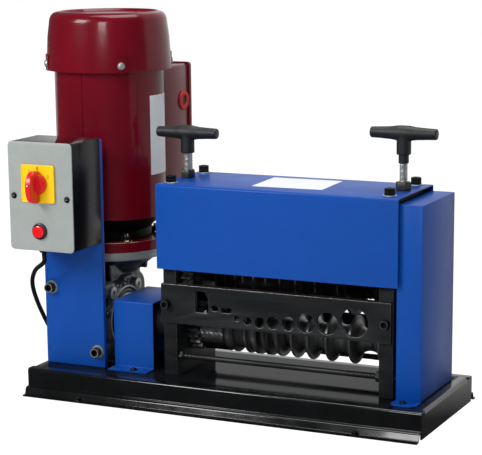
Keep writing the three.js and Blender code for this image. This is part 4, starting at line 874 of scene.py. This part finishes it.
def build_motor():
    centre = (MOTOR_X, MOTOR_Y)
    low, high = span("motor_body")[2]
    wall = [(96, low), (98.6, low), (99.2, low + 0.6), (99.2, high - 3), (96, high)]
    shell = turned("z", [*wall, (12.5, high), (12.5, high - 8), (96, high - 8)], centre, 128)
    lap = wrapped(centre, 99, (-89.3, 269.3), (low + 0.4, high - 2), 1.0, 180)
    band = turned("z", [(99, 0), (100, 0.5), (100, 5), (99.4, 6), (99, 6)], centre, 128, low)
    piece("motor_skin", joined(shell, lap, band), "wine red enamel", nodes=["motor_body"], sharp=40)
    piece("motor_label", wrapped(centre, 100.05, (-15, 22), (384, 528), 0.25, 40), "white label")

    foot = span("end_bell")[2][0]
    bell = [(13, foot), (70, foot), (72, foot + 2), (72, foot + 16), (76, foot + 22)]
    bell += [(91, low - 7), (96, low - 2), (96, low + 5), (13, low + 5)]
    # The bell's darker enamel is painted shade from the motor above it
    piece("end_bell_dressed", turned("z", bell, centre, 96), "bell enamel with painted shade", nodes=["end_bell"])

    foot, top = span("motor_flange")[2][0], 265
    ring = [(15, foot), (99, foot), (100, foot + 1), (100, top - 1), (99, top), (15, top)]
    piece("flange_dressed", turned("z", ring, centre, 128), "wine red enamel", nodes=["motor_flange"])
    reach = FLANGE_BOLTS / sqrt(2)
    stud = turned("z", [(0, 8), (4.6, 8), (4.6, 14.4), (4, 15), (0, 15)], steps=32)
    nuts = joined(hex_nut(17, 8, 4, seat=1.8), washer(12, 4, 2), stud)
    corner = (MOTOR_X - reach, MOTOR_Y - reach, top)
    repeated("flange_nuts", nuts, "yellow zinc", corner, (2, (2 * reach, 0, 0)), (2, (0, 2 * reach, 0)))

    foot, top = span("adapter_plate")[2]
    plate = [(15, foot), (98.5, foot), (100, foot + 1.5), (100, top - 0.4), (99.4, top), (15, top)]
    piece("adapter_dressed", turned("z", plate, centre, 128), "turned aluminium", nodes=["adapter_plate"])
    build_cowl(centre)
    build_terminal_box()


def build_cowl(centre):
    low, high = span("fan_cowl")[2]
    wide = (span("fan_cowl")[0][1] - span("fan_cowl")[0][0]) / 2
    outer = [(wide, low), (wide, low + 4), (wide - 3.6, high - 44), (107.5, high - 20)]
    for degrees in range(12, 91, 13):
        a = radians(degrees)
        outer.append((107.5 - 13 * (1 - cos(a)), high - 20 + 18.5 * sin(a)))
    bead = [
        (92.5, -0.6), (90.5, 0), (88.5, -0.6), (87, -3), (85.5, -4.6), (82, -5), (0, -5), (0, -7), (84, -7)
    ]
    outer += [(r, high + h) for r, h in bead]
    inner = [(94, high - 8), (104, high - 20), (wide - 2, low + 4), (wide - 2, low)]
    cowl = turned("z", outer + inner, centre, 160)
    piece("cowl_dressed", cowl, "wine red enamel", nodes=["fan_cowl"], sharp=50)
    tabs, screws = [], []
    for k in range(4):
        turn = (0, 0, TAB_ANGLE + 90 * (k + 1))
        rim = rounded((-11, 11), (low + 0.6, low + 29), 2)
        tab = pulled(
            "y", [rim, rounded((-9.8, 9.8), (low - 0.6, low + 27.8), 1.6)], -wide - 0.6, -wide + 3, 0.2
        )
        pad = pulled("y", [rounded((-9.6, 9.6), (low + 0.6, low + 27.6), 1.5)], -wide - 0.1, -wide + 3, 0.3)
        head = moved(pan_head(6.6, 4.6), 0, -wide - 0.1, low + 12, (90, 0, 0))
        tabs += [moved(shape, *centre, 0, turn=turn) for shape in (tab, pad)]
        screws.append(moved(head, *centre, 0, turn=turn))
    piece("cowl_tabs", joined(*tabs), "wine red enamel")
    piece("cowl_screws", joined(*screws), "bright zinc")


def build_terminal_box():
    x, y, z = span("terminal_box")
    shell = pulled("y", [rounded(x, z, 6, 8)], MOTOR_Y + 78, y[1], 0.8)
    piece("terminal_shell", shell, "wine red enamel", nodes=["terminal_box"])
    lx, ly, lz = span("terminal_lid")
    face = ly[1] - 3
    lid = pulled("y", [rounded(lx, lz, 7, 8)], ly[0] + 0.4, face, 1.6)
    piece("terminal_lid_dressed", lid, "wine red enamel", nodes=["terminal_lid"])
    screw = moved(joined(pan_head(4.5, 3), washer(5.5, 2, 0.8)), turn=(-90, 0, 0))
    columns, rows = (2, (lx[1] - lx[0] - 24, 0, 0)), (2, (0, 0, lz[1] - lz[0] - 24))
    repeated("lid_screws", screw, "bright zinc", (lx[0] + 12, face, lz[0] + 12), columns, rows)
    _, gy, gz = span("cable_grommet")
    at = (sum(gy) / 2, sum(gz) / 2)
    rim = (gy[1] - gy[0]) / 2
    hole = rim * 0.51
    bush = [(hole, 0), (rim, 0), (rim, 1.6), (rim - 1, 3), (rim - 3.6, 3.8), (hole + 1.1, 3.2), (hole, 1.8)]
    piece("grommet_dressed", turned("x", bush, at, 64, x[1]), "red rubber", nodes=["cable_grommet"])
    # A black disc in the grommet's opening: painted shade inside the hole
    piece("grommet_hole", tube("x", 0, hole + 0.1, x[1], x[1] + 0.3, at, 48), "black mark")


# Gearbox and drive


GEARBOX_HALF = 56  # half the drum's length


def build_gearbox():
    left, right = MOTOR_X - GEARBOX_HALF, MOTOR_X + GEARBOX_HALF
    axis = (SHAFT_Y, ROLLER_Z)
    column_rear = span("column_plate")[1][1]
    body = pulled("x", [rounded((SHAFT_Y, 190), (64, 196), 26, 8)], left, right - 8, 3)
    drum = turned(
        "x", [(0, left), (62, left), (65, left + 3), (65, right - 3), (62, right), (0, right)], axis, 96
    )
    crown = turned("x", [(54, -2), (59, -2), (59, 4), (58, 5), (55, 5), (54, 4)], axis, 96, right)
    fins = [
        moved(block((right - 14, right + 2), (-2.5, 2.5), (56, 66), 0.8), 0, *axis, turn=(a, 0, 0))
        for a in range(-75, 76, 15)
    ]
    neck = turned(
        "z", [(0, 170), (50, 170), (48, 200), (58, 208), (74, 221), (76, 231), (0, 231)], (MOTOR_X, MOTOR_Y),
        64
    )
    corners = [(MOTOR_X + u, v) for u, v in ((-46, 189), (46, 77), (46, 185), (-46, 81))]
    outlines = [rounded((u - 13, u + 13), (v - 13, v + 13), 6) for u, v in corners]
    lugs = [pulled("y", [outline], column_rear, column_rear + 38, 1) for outline in outlines]
    holes = [(SHAFT_Y + dy, ROLLER_Z + 53) for dy in (-46, 46)]
    eyes = [tube("x", 0, 12, right - 22, right + 5, hole, 40) for hole in holes]
    boss = turned("x", [(0, -4), (52, -4), (52, 4), (49, 5), (0, 5)], axis, 64, right)
    ribs = [block((MOTOR_X - 3 + dx, MOTOR_X + 3 + dx), (78, 157), (168, 222), 1) for dx in (-34, 0, 34)]
    arms = [
        moved(block((0, 70), (-4, 4), (206, 230), 1), MOTOR_X, MOTOR_Y, 0, turn=(0, 0, a))
        for a in (-60, 0, 60, 120, 180, 240)
    ]
    casting = fused(joined(body, drum, crown, *fins, neck, *lugs, *eyes, boss, *ribs, *arms), 1.8, 4)
    # The casting's darker grey is painted shade
    piece("gearbox_casting", casting, "gearbox casting", nodes=["gearbox_housing"], sharp=70)
    rim = [(5, 4), (11, 4), (11, 5.6), (10, 6), (5, 6)]
    rings = [turned("x", rim, hole, 40, right) for hole in holes]
    inner = [(31, 4), (45, 4), (45, 8), (43, 9), (38, 9), (36, 12), (17, 12), (17, 4)]
    outer = [(55, 4.8), (58.4, 4.8), (58.4, 5.6), (57.6, 6), (55.8, 6), (55, 5.6)]
    rings += [turned("x", profile, axis, 96, right) for profile in (inner, outer)]
    piece("output_flange", joined(*rings), "bright zinc")
    face = span("gearbox_cover")[0][0]
    cap = [(0, 0), (22, 0), (25, 2), (28, 8), (55, 8), (58, 10), (58.5, 12)]
    cap = [(r, face + h) for r, h in cap] + [(58.5, left - 0.2), (0, left - 0.2)]
    piece("gearbox_cap", turned("x", cap, axis, 96), "painted casting", nodes=["gearbox_cover"])
    ring_screws = []
    for k in range(4):
        a = radians(45 + 90 * k)
        at = face + 8, SHAFT_Y + 46 * cos(a), ROLLER_Z + 46 * sin(a)
        ring_screws.append(moved(socket_head(4, 4), *at, (0, -90, 0)))
    piece("cap_screws", joined(*ring_screws), "black oxide")


def build_drive():
    x, y, _ = span("drive_coupling")
    axis = (SHAFT_Y, ROLLER_Z)
    r = (y[1] - y[0]) / 2
    hub = [(17, 0), (r - 1.5, 0), (r, 1.5), (r, 30), (r - 2, 31), (r - 2, 41), (r, 42)]
    hub = [(q, x[0] + h) for q, h in hub] + [(r, x[1] - 1.5), (r - 1.5, x[1]), (17, x[1])]
    hub = turned("x", hub, axis, 64)
    piece("coupling_dressed", hub, "turned steel", "feed_roller_set", ["drive_coupling"])
    screws = [moved(socket_head(3, 2), x[0] + dx, SHAFT_Y, ROLLER_Z + r - 0.6) for dx in (14, 58)]
    piece("coupling_screws", joined(*screws), "black oxide", "feed_roller_set")
    gx, _, gz = span("coupling_guard")
    front, rear, half = 26, 158, 1
    low, high = DECK + half, gz[1] - half
    path = [(front - 28, low), (front + half, low), (front + half, high)]
    path += [(rear - half, high), (rear - half, low), (rear + 19, low)]
    hood = pulled("x", [folded(path, 2 * half, 2.6)], *gx, 0.3)
    piece("guard_dressed", hood, "blue powder coat", nodes=["coupling_guard"])
    foot_screw("guard_screw", -55.5, 9)


def foot_screw(name, x, y):
    """A pan screw with its washer on a foot that stands on the deck."""
    shape = joined(pan_head(5.4, 4.4), washer(7, 3, 1.0))
    piece(name, moved(shape, x, y, DECK + 2), "black oxide")


# Frame


def build_frame():
    for side in ("left", "right"):
        node = "side_plate_" + side
        x, y, z = span(node)
        window = rounded((SHAFT_Y - 30, SHAFT_Y + 30), (KNIFE_Z - 30.3, KNIFE_Z + 38), 1)
        plate = pulled("x", [rounded(y, z, 0.6, 2), window, circle((SHAFT_Y, ROLLER_Z), 18)], *x, 0.6)
        # The side plates' rounded rims carry a painted highlight
        highlight_rims(piece(node + "_dressed", plate, "blackened bar", nodes=[node]), "painted rim highlight", "x")
    piece("rest_bar_dressed", block(*span("rest_bar"), 0.6), "blackened bar", nodes=["rest_bar"])
    for name in ("front_tie_rod", "rear_tie_rod"):
        x, y, z = span(name)
        at = (sum(y) / 2, sum(z) / 2)
        left, right = FRAME_LEFT_IN + 9, FRAME_RIGHT_IN - 9  # where the nuts end
        rod = [(0, x[0]), (4.4, x[0]), (5, x[0] + 1), (5, left), (4.9, left)]
        rod += [(4.9, right), (5, x[1] - 1), (4.4, x[1]), (0, x[1])]
        smooth = turned("x", rod, at, 32)
        nuts = [moved(hex_nut(17, 8, 4.6, "x"), start, *at) for start in (left - 8.8, right + 0.8)]
        piece(name + "_dressed", joined(smooth, *nuts), "blackened bar", nodes=[name])
        for end, start in (("left", left), ("right", right - 53)):
            threaded(f"{name}_thread_{end}", "dull zinc", (start, *at), (0, 90, 0), 5.3, 1.5, 52, depth=0.5)
    build_guide()


def build_guide():
    x, y, z = span("guide_plate")
    front, back = y[0], y[0] + 8
    holes = [
        rounded((cx - w / 2, cx + w / 2), (low, low + h), corner)
        for cx, w, h, low, corner in FLAT_LANES
    ]
    holes += [circle((cx, low + bore / 2), bore / 2, 72) for cx, bore, low in ROUND_LANES]
    plate = piece(
        "guide_dressed", pulled("y", [rounded(x, z, 0.8, 2), *holes], front, back, 0.7), "blackened bar",
        nodes=["guide_plate"]
    )
    # The guide plate's rounded rims and lane edges carry a painted highlight
    highlight_rims(plate, "painted rim highlight", "y")
    top = block((x[0] + 0.6, x[1] - 0.6), (front + 0.9, back - 0.4), (z[1] - 0.5, z[1] + 0.15), 0.1)
    shelf = block((FRAME_LEFT_IN + 2, FRAME_RIGHT_IN - 2), (back - 1, back + 8), (z[1] - 4, z[1]), 0.5)
    piece("guide_top_edge", joined(top, shelf), "oiled brown edge")
    for name, node in (("left", "guide_screw_left"), ("right", "guide_screw_right")):
        bx, _, bz = middle(node)
        head = joined(socket_head(8, 9, 1.5), washer(8.5, 5))
        piece("guide_bolt_" + name, moved(head, bx, front, bz, (90, 0, 0)), "black oxide", nodes=[node])
        # A bright ring painted on the head's edge as its highlight
        piece("guide_bolt_rim_" + name, moved(highlight_ring(8, 9, 1.5), bx, front, bz, (90, 0, 0)), "painted rim highlight")


# Feed roller and knives


FEED_TEETH, KNIFE_TEETH, MODULE = 20, 32, 4


def build_roller():
    radius, start, knurl_end, tail = 41.6, 56.5, 101.8, 400
    low, high = span("feed_roller")[0]
    profile = [(0, low), (16, low), (16, 0), (17.5, 0), (17.5, start), (radius - 1.5, start)]
    profile += [(radius - 0.2, start + 1.5), (radius - 1.2, start + 1.6), (radius - 1.2, knurl_end)]
    profile += [(radius - 2.4, knurl_end), (radius - 2.4, knurl_end + 1.2)]
    for (cx, w, *_), deep in zip(FLAT_LANES[1:], (2.5, 8)):
        half = w / 2 - 1
        bottom = radius - deep
        profile += [(radius, cx - half - 1.2), (bottom + 0.6, cx - half), (bottom, cx - half + 0.8)]
        rings = int((half * 2 - 2) // 2.2)
        for k in range(rings):
            at = cx - half + 1.2 + k * 2.2
            profile += [(bottom, at), (bottom + 0.7, at + 0.7), (bottom, at + 1.4)]
        profile += [(bottom, cx + half - 0.8), (bottom + 0.6, cx + half), (radius, cx + half + 1.2)]
    for cx, bore, bottom in ROUND_LANES:
        r = GROOVE_WIDTHS.get(bore, bore) / 2
        centre = bottom - (7.5 if bore == 50 else 1) + r - ROLLER_Z
        half = sqrt(r * r - max(centre - radius, 0) ** 2)
        first = asin(half / r)
        steps = max(10, int(r))
        profile += [(radius, cx - half - 0.8), (radius - 0.4, cx - half - 0.2)]
        for k in range(steps + 1):
            a = -first + 2 * first * k / steps
            ripple = 0.25 if k % 2 and bore < 24 else 0.0
            profile.append((min(centre - r * cos(a), radius - 0.4) - ripple, cx + r * sin(a)))
        profile += [(radius - 0.4, cx + half + 0.2), (radius, cx + half + 0.8)]
    profile += [(radius, tail - 1.5), (radius - 1.5, tail), (17.5, tail), (17.5, high), (0, high)]
    line = [profile[0]]
    for r, x in profile[1:]:
        line.append((r, max(x, line[-1][1])))
    roller = turned("x", line, (SHAFT_Y, ROLLER_Z), 128)
    piece("roller_dressed", roller, "turned steel", "feed_roller_set", ["feed_roller"], 28)
    width = knurl_end - start - 1.6
    sizes = dict(radius=radius, width=width, pitch=chosen("knurl_pitch"), depth=chosen("knurl_depth"))
    place = (start + 1.6 + width / 2, SHAFT_Y, ROLLER_Z)
    drum = grown(knurl_tree(), "roller_knurl", "ground steel", place, **sizes)
    finished("roller_knurl", drum, "ground steel", "feed_roller_set", sharp=25)
    wheel = gear("x", (SHAFT_Y, ROLLER_Z), FEED_TEETH, MODULE, 90, *span("feed_gear")[0], 17.8)
    piece("feed_gear_dressed", wheel, "turned steel", "feed_roller_set", ["feed_gear"])


def drum_groove(cx, half, top, r, drum):
    """The groove that clears a lane: square for a flat one, round with straight walls for a bore."""
    if not r:
        left, right = cx - half, cx + half
        groove = [(drum, left - 0.5), (drum - 0.5, left), (top, left)]
        return groove + [(top, right), (drum - 0.5, right), (drum, right + 0.5)]
    centre = top + r
    first = acos(max((centre - drum) / r, 0))
    groove = [(drum, cx - r * sin(first))]
    for k in range(17):
        a = first * (k / 8 - 1)
        groove.append((min(centre - r * cos(a), drum), cx + r * sin(a)))
    return groove + [(drum, cx + r * sin(first))]


def build_knives():
    x, y, _ = span("blade_stack")
    axis = (SHAFT_Y, KNIFE_Z)
    drum = min((y[1] - y[0]) / 2, KNIFE_Z - ROLLER_Z - 44)
    thin = chosen("knife_thickness") / 2
    profile, discs = [(17.8, x[0]), (drum - 0.6, x[0]), (drum, x[0] + 0.6)], []
    lanes = [(cx, w, h, low, 0) for cx, w, h, low, _ in FLAT_LANES]
    lanes += [(cx, bore, bore, low, bore / 2) for cx, bore, low in ROUND_LANES]
    for cx, w, h, low, r in lanes:
        top, half = KNIFE_Z - low - h, w / 2
        lowest = min(top, drum)
        for edge in (-1, 1):
            seam = cx + edge * (half + 1.2)
            cuts = [(drum, seam - 0.4), (drum - 0.6, seam), (drum, seam + 0.4)]
            if edge > 0 and top < drum:
                profile += drum_groove(cx, half, top, r, drum)
            profile += cuts
        tip, root = top + 1.5, lowest - 4
        disc = [(root, -thin), (tip - 0.1, -thin), (tip, 0.15 - thin), (lowest - 0.2, thin), (root, thin)]
        discs.append(turned("x", disc, axis, 128, cx))
    profile += [(drum, x[1] - 0.6), (drum - 0.6, x[1]), (17.8, x[1])]
    piece(
        "knife_drums", turned("x", profile, axis, 128), "black oxide drum", "knife_shaft_set", ["blade_stack"]
    )
    piece("knife_discs", joined(*discs), "ground steel", "knife_shaft_set")
    sx = span("blade_shaft")[0]
    shaft = [(0, sx[0]), (16.5, sx[0]), (17.5, sx[0] + 1), (17.5, sx[1] - 1), (16.5, sx[1]), (0, sx[1])]
    piece(
        "knife_shaft_dressed", turned("x", shaft, axis, 64), "ground steel", "knife_shaft_set",
        ["blade_shaft"]
    )
    first = -90 + 180 / KNIFE_TEETH
    wheel = gear("x", axis, KNIFE_TEETH, MODULE, first, *span("blade_gear")[0], 17.8)
    piece("knife_gear_dressed", wheel, "turned steel", "knife_shaft_set", ["blade_gear"])


# Adjusters


GRIP_RADIUS = 13  # of the bar of the T, at its middle


def build_adjusters():
    for side in ("left", "right"):
        x, y, z = span("adjuster_screw_" + side)
        cx, cy = sum(x) / 2, sum(y) / 2
        body = "adjuster_" + side
        sizes = (7, chosen("rod_lead"), z[1] - z[0])
        node = ["adjuster_screw_" + side]
        threaded("adjuster_rod_" + side, "bright zinc", (cx, cy, z[0]), (0, 0, 0), *sizes, body, node, 0.65)
        low, high = span("t_grip_" + side)[2]
        grip = t_grip(cx, cy, high - GRIP_RADIUS)
        piece("grip_dressed_" + side, grip, "black nylon", body, ["t_grip_" + side], 60)
        if side == "right":
            piece("grip_collar", tube("z", 7.2, 8.7, low, low + 14.4, (cx, cy), 48), "black nylon", body)
        low, high = span("hex_nut_" + side)[2]
        nut = moved(hex_nut(24, high - low, 7.3), cx, cy, low)
        piece("hex_nut_dressed_" + side, nut, "dull zinc", nodes=["hex_nut_" + side])


def t_grip(cx, cy, z):
    """A moulded T: a bar thicker in its middle, melted into its stem."""
    right = [(GRIP_RADIUS, 9), (11, 22), (9.9, 40), (9.3, 57), (8.2, 58.5), (0, 58.5)]
    left = [(r, -x) for r, x in right[::-1]]
    across = moved(turned("x", left + right, steps=64), cx, cy, z)
    stem = [(0, -35.8), (11.6, -35.8), (12.3, -35), (12.3, -12), (12.8, 0), (0, 0)]
    stem = turned("z", stem, (cx, cy), 64, z)
    return fused(joined(across, stem), 0.9, 6)


def build_grip_details():
    """Small moulded sockets in the ends of both bars and in the side of the left one."""
    for side, places in (("left", (14, 103)), ("right", ())):
        x, y, z = span("t_grip_" + side)
        cy, cz = sum(y) / 2, z[1] - GRIP_RADIUS
        hole_shades = [tube("x", 0, 4.4, end - 0.2, end + 0.2, (cy, cz), 32) for end in x]
        hole_shades += [tube("y", 0, 2.1, cy - 9.9, cy - 8, (x[0] + dx, cz), 24) for dx in places]
        piece("grip_sockets_" + side, joined(*hole_shades), "black mark", "adjuster_" + side)


# Sheet housing and end cover


def build_housing():
    x, y, z = span("housing")
    path = [(y[0] + 1, z[0]), (y[0] + 1, z[1] - 1), (y[1] - 1, z[1] - 1), (y[1] - 1, z[0])]
    shell = pulled("x", [folded(path, 2, 3, 6)], *x, 0.35)
    piece("housing_dressed", shell, "blue powder coat", nodes=["housing"])
    bolts = [f"housing_screw_{side}_{end}" for side in ("left", "right") for end in ("front", "rear")]
    lx, fy, _ = middle(bolts[0])
    rx, ry, _ = middle(bolts[3])
    steps = (2, (rx - lx, 0, 0)), (2, (0, ry - fy, 0))
    repeated("housing_bolts", socket_head(9, 12, 1.5), "black oxide", (lx, fy, z[1]), *steps, nodes=bolts)
    repeated("housing_washers", washer(12, 6), "bright zinc", (lx, fy, z[1]), *steps)
    label = pulled("z", [[(165, 41), (294, 45), (289, 150), (160, 147)]], z[1], z[1] + 0.25, 0)
    piece("housing_label", label, "white label")


def build_cover():
    x, y, z = span("end_cover")
    x0, x1 = x
    front, rear = y[0] + 32, y[1] - 20
    top = block(x, (front, rear), (z[0] + 0.2, z[1]), 1.6)
    foot = [(x0, front + 3), (x0, y[0] + 8), (x0 + 8, y[0]), (x1 - 8, y[0]), (x1, y[0] + 8), (x1, front + 3)]
    tab = pulled("z", [foot], DECK, DECK + 2, 0.4)
    back = block((x0 + 4, x1 - 4), (rear - 2, y[1]), (DECK, DECK + 2), 0.4)
    piece("cover_dressed", joined(top, tab, back), "blue powder coat", nodes=["end_cover"])
    foot_screw("cover_screw", (x0 + x1) / 2 - 3, y[0] + 15)


# Pieces that keep their CAD shape


def dress_solids():
    plain = {
        "stator": "core steel", "motor_rotor": "core steel", "cooling_fan": "black polypropylene",
        "worm": "ground steel", "worm_wheel": "machined bronze",
        "bearing_block_left": "blackened bar", "bearing_block_right": "blackened bar",
    }
    for node, finish in plain.items():
        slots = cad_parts[node].data.materials
        slots.clear()
        slots.append(material(finish))


# Stage


# The camera, from the photo's vanishing lines: picture and focal length in pixels, the pixel of the
# lens axis, a drawing point on that axis, metres from there to the lens, and angles in degrees
PICTURE, FOCAL, AXIS_PIXEL = (482, 455), 1766, (223.4, 289.4)
AIM, DISTANCE, AZIMUTH, ELEVATION, ROLL = (100, 60, 200), 3.109, 25.86, 11.98, -0.67
FILM = 36

# Horizontal direction in which polished pieces see the pale wall
PALE_SIDE = (0.39, 0.92, 0.0)


def build_stage():
    build_camera()
    build_floor()
    build_room()
    lamp("key", (-1.5, -2.4, 1.9), 1.2, 64)
    lamp("fill", (0.7, -3.0, 1.5), 0.8, 25)
    lamp("top", (0.1, 0.2, 2.6), 1.6, 46)


def build_camera():
    scene = bpy.context.scene
    scene.view_settings.view_transform = "Standard"
    azimuth, elevation, roll = radians(AZIMUTH), radians(ELEVATION), radians(ROLL)
    back = Vector((sin(azimuth) * cos(elevation), -cos(azimuth) * cos(elevation), sin(elevation)))
    right = Vector((cos(azimuth), sin(azimuth), 0))
    up = back.cross(right)
    right, up = right * cos(roll) + up * sin(roll), up * cos(roll) - right * sin(roll)
    camera = bpy.data.objects.new("camera", bpy.data.cameras.new("camera"))
    scene.collection.objects.link(camera)
    eye = Vector(AIM) * MM + ORIGIN + back * DISTANCE
    camera.matrix_world = Matrix.Translation(eye) @ Matrix((right, up, back)).transposed().to_4x4()
    width, height = PICTURE
    camera.data.lens = FOCAL * FILM / width
    camera.data.shift_x = (width / 2 - AXIS_PIXEL[0]) / width
    camera.data.shift_y = (AXIS_PIXEL[1] - height / 2) / width
    camera.data.clip_end = 50
    scene.camera = camera


def mirrored(tree, place, *reach):
    """Sockets: 1 for the camera, 1 for what polished pieces mirror, and how bright they see it."""
    seen = add(tree, "ShaderNodeLightPath").outputs
    share = calc(tree, "MAXIMUM", seen["Is Glossy Ray"], seen["Is Transmission Ray"])
    spot = add(tree, "ShaderNodeTexCoord").outputs[place]
    side = add(
        tree, "ShaderNodeVectorMath", {0: spot, 1: PALE_SIDE}, operation="DOT_PRODUCT"
    ).outputs["Value"]
    return seen["Is Camera Ray"], share, ranged(tree, side, *reach)


def mixed(tree, share, a, b):
    return add(tree, "ShaderNodeMix", {"Factor": share, 2: a, 3: b}, data_type="FLOAT").outputs[0]


def build_floor():
    """A floor that is white to the camera, soft to the lamps, and dim in polished pieces."""
    mesh = bpy.data.meshes.new("floor")
    mesh.from_pydata([(-9, -9, 0), (9, -9, 0), (9, 9, 0), (-9, 9, 0)], [], [(0, 1, 2, 3)])
    floor = bpy.data.objects.new("floor", mesh)
    bpy.context.scene.collection.objects.link(floor)
    paper = bpy.data.materials.new("pale floor")
    paper.use_nodes = True
    tree = paper.node_tree
    tree.nodes.clear()
    to_camera, share, mirror = mirrored(tree, "Object", 0.15, 0.5, 0.06, 0.6)
    glowing = calc(tree, "MAXIMUM", calc(tree, "MULTIPLY", to_camera, 0.9), share)
    level = mixed(tree, to_camera, mirror, 1.14)
    matt = add(tree, "ShaderNodeBsdfDiffuse", {"Color": (0.9, 0.9, 0.9, 1)}).outputs[0]
    glow = add(tree, "ShaderNodeEmission", {"Color": (1, 1, 1, 1), "Strength": level}).outputs[0]
    both = add(tree, "ShaderNodeMixShader", {0: glowing, 1: matt, 2: glow}).outputs[0]
    add(tree, "ShaderNodeOutputMaterial", {0: both})
    mesh.materials.append(paper)


def build_room():
    """A white background to the camera; metal and gloss mirror a pale wall and a dim room."""
    world = bpy.data.worlds.new("studio")
    bpy.context.scene.world = world
    world.use_nodes = True
    tree = world.node_tree
    tree.nodes.clear()
    to_camera, share, wall = mirrored(tree, "Generated", 0.54, 0.63, 0.08, 0.85)
    level = mixed(tree, to_camera, mixed(tree, share, 0.12, wall), 1.0)
    sky = add(tree, "ShaderNodeBackground", {"Color": (1, 1, 1, 1), "Strength": level}).outputs[0]
    add(tree, "ShaderNodeOutputWorld", {0: sky})


def lamp(name, place, size, power):
    """A square soft lamp that points at the middle of the machine."""
    data = bpy.data.lights.new(name, "AREA")
    data.size, data.energy = size, power
    obj = bpy.data.objects.new(name, data)
    bpy.context.scene.collection.objects.link(obj)
    aim = Vector((0, 0, 0.28)) - Vector(place)
    obj.matrix_world = Matrix.Translation(place) @ aim.to_track_quat("-Z", "Y").to_matrix().to_4x4()


# Add-on


def colour(name, description, key):
    """A colour property that starts as its finish has it."""
    start = linear(FINISHES[CHOSEN[key]]["colour"])
    return bpy.props.FloatVectorProperty(
        name=name, description=description, subtype="COLOR", size=4, min=0, max=1, default=start
    )


def length(name, description, millimetres):
    return bpy.props.FloatProperty(
        name=name, description=description, subtype="DISTANCE", unit="LENGTH", precision=4, min=1e-4,
        default=millimetres * MM
    )


class StripperColours(bpy.types.PropertyGroup):
    """Colours of the large painted pieces."""

    sheet: colour("Sheet", "Housing, column, guard and end cover", "sheet")
    motor: colour("Motor", "Motor, cowl and terminal box", "motor")
    rails: colour("Rails", "Rails and ends of the base", "rails")
    deck: colour("Deck", "Deck of the base", "deck")
    plate: colour("Switch plate", "Plate behind the rotary switch", "plate")


class StripperSizes(bpy.types.PropertyGroup):
    """Sizes of the details that the CAD solids leave open."""

    cord_radius: length("Cord radius", "Radius of the cord to the motor", 4)
    knife_thickness: length("Knife thickness", "Thickness of each circular knife", 2.5)
    knurl_pitch: length("Knurl pitch", "Step of the diamonds round the feed roller", 2.6)
    knurl_depth: length("Knurl depth", "Height of the diamonds", 0.7)
    rod_lead: length("Rod lead", "Lead of the adjusters' threads", 2)


# Where each group hangs on the scene
GROUPS = {"stripper_colours": StripperColours, "stripper_sizes": StripperSizes}


def operator(key, label, words, *builders):
    """An operator class that runs the builders of one group of pieces."""

    def execute(self, context):
        for build in builders:
            build()
        return {"FINISHED"}

    traits = {"bl_idname": "stripper." + key, "bl_label": label, "__doc__": words, "execute": execute}
    return type("STRIPPER_OT_" + key, (bpy.types.Operator,), traits)


OPERATORS = [
    operator("stage", "Stage", "Camera, floor, world and lamps", build_stage),
    operator("base", "Base", "Deck, rails and ends of the base", build_base),
    operator("column", "Column", "Upright plate with its bolts", build_column),
    operator("control", "Control box", "Box, panel, switch, lamp and cord gland", build_control),
    operator("cord", "Cord", "Cord from the control box to the motor", build_cord),
    operator("motor", "Motor", "Motor body, bell, flange, cowl and terminal box", build_motor),
    operator("gearbox", "Gearbox", "Cast housing with its cover and flange", build_gearbox),
    operator("drive", "Drive", "Coupling and its guard", build_drive),
    operator("frame", "Frame", "Side plates, tie rods and guide plate", build_frame),
    operator("roller", "Feed roller", "Grooved and knurled roller with its gear", build_roller),
    operator("knives", "Knives", "Knife shaft, discs, spacers and gear", build_knives),
    operator(
        "adjusters", "Adjusters", "Threaded rods, nuts and T-grips", build_adjusters, build_grip_details
    ),
    operator("housing", "Housing", "Sheet housing and end cover", build_housing, build_cover),
    operator("solids", "Inner pieces", "Finishes of the pieces that keep their CAD shape", dress_solids),
]


class STRIPPER_PT_panel(bpy.types.Panel):
    """Lists the machine's colours, sizes and operators"""

    bl_label = "Cable stripping machine"
    bl_space_type = "VIEW_3D"
    bl_region_type = "UI"
    bl_category = "Stripper"

    def draw(self, context):
        for group, kind in GROUPS.items():
            for name in kind.__annotations__:
                self.layout.prop(getattr(context.scene, group), name)
        for item in OPERATORS:
            self.layout.operator(item.bl_idname)


CLASSES = [*GROUPS.values(), *OPERATORS, STRIPPER_PT_panel]


def register():
    for item in CLASSES:
        bpy.utils.register_class(item)
    for name, kind in GROUPS.items():
        setattr(bpy.types.Scene, name, bpy.props.PointerProperty(type=kind))


def unregister():
    for name in GROUPS:
        delattr(bpy.types.Scene, name)
    for item in reversed(CLASSES):
        bpy.utils.unregister_class(item)


def main():
    register()
    for item in OPERATORS:
        getattr(bpy.ops.stripper, item.bl_idname.split(".")[1])()


if __name__ == "__main__":
    main()
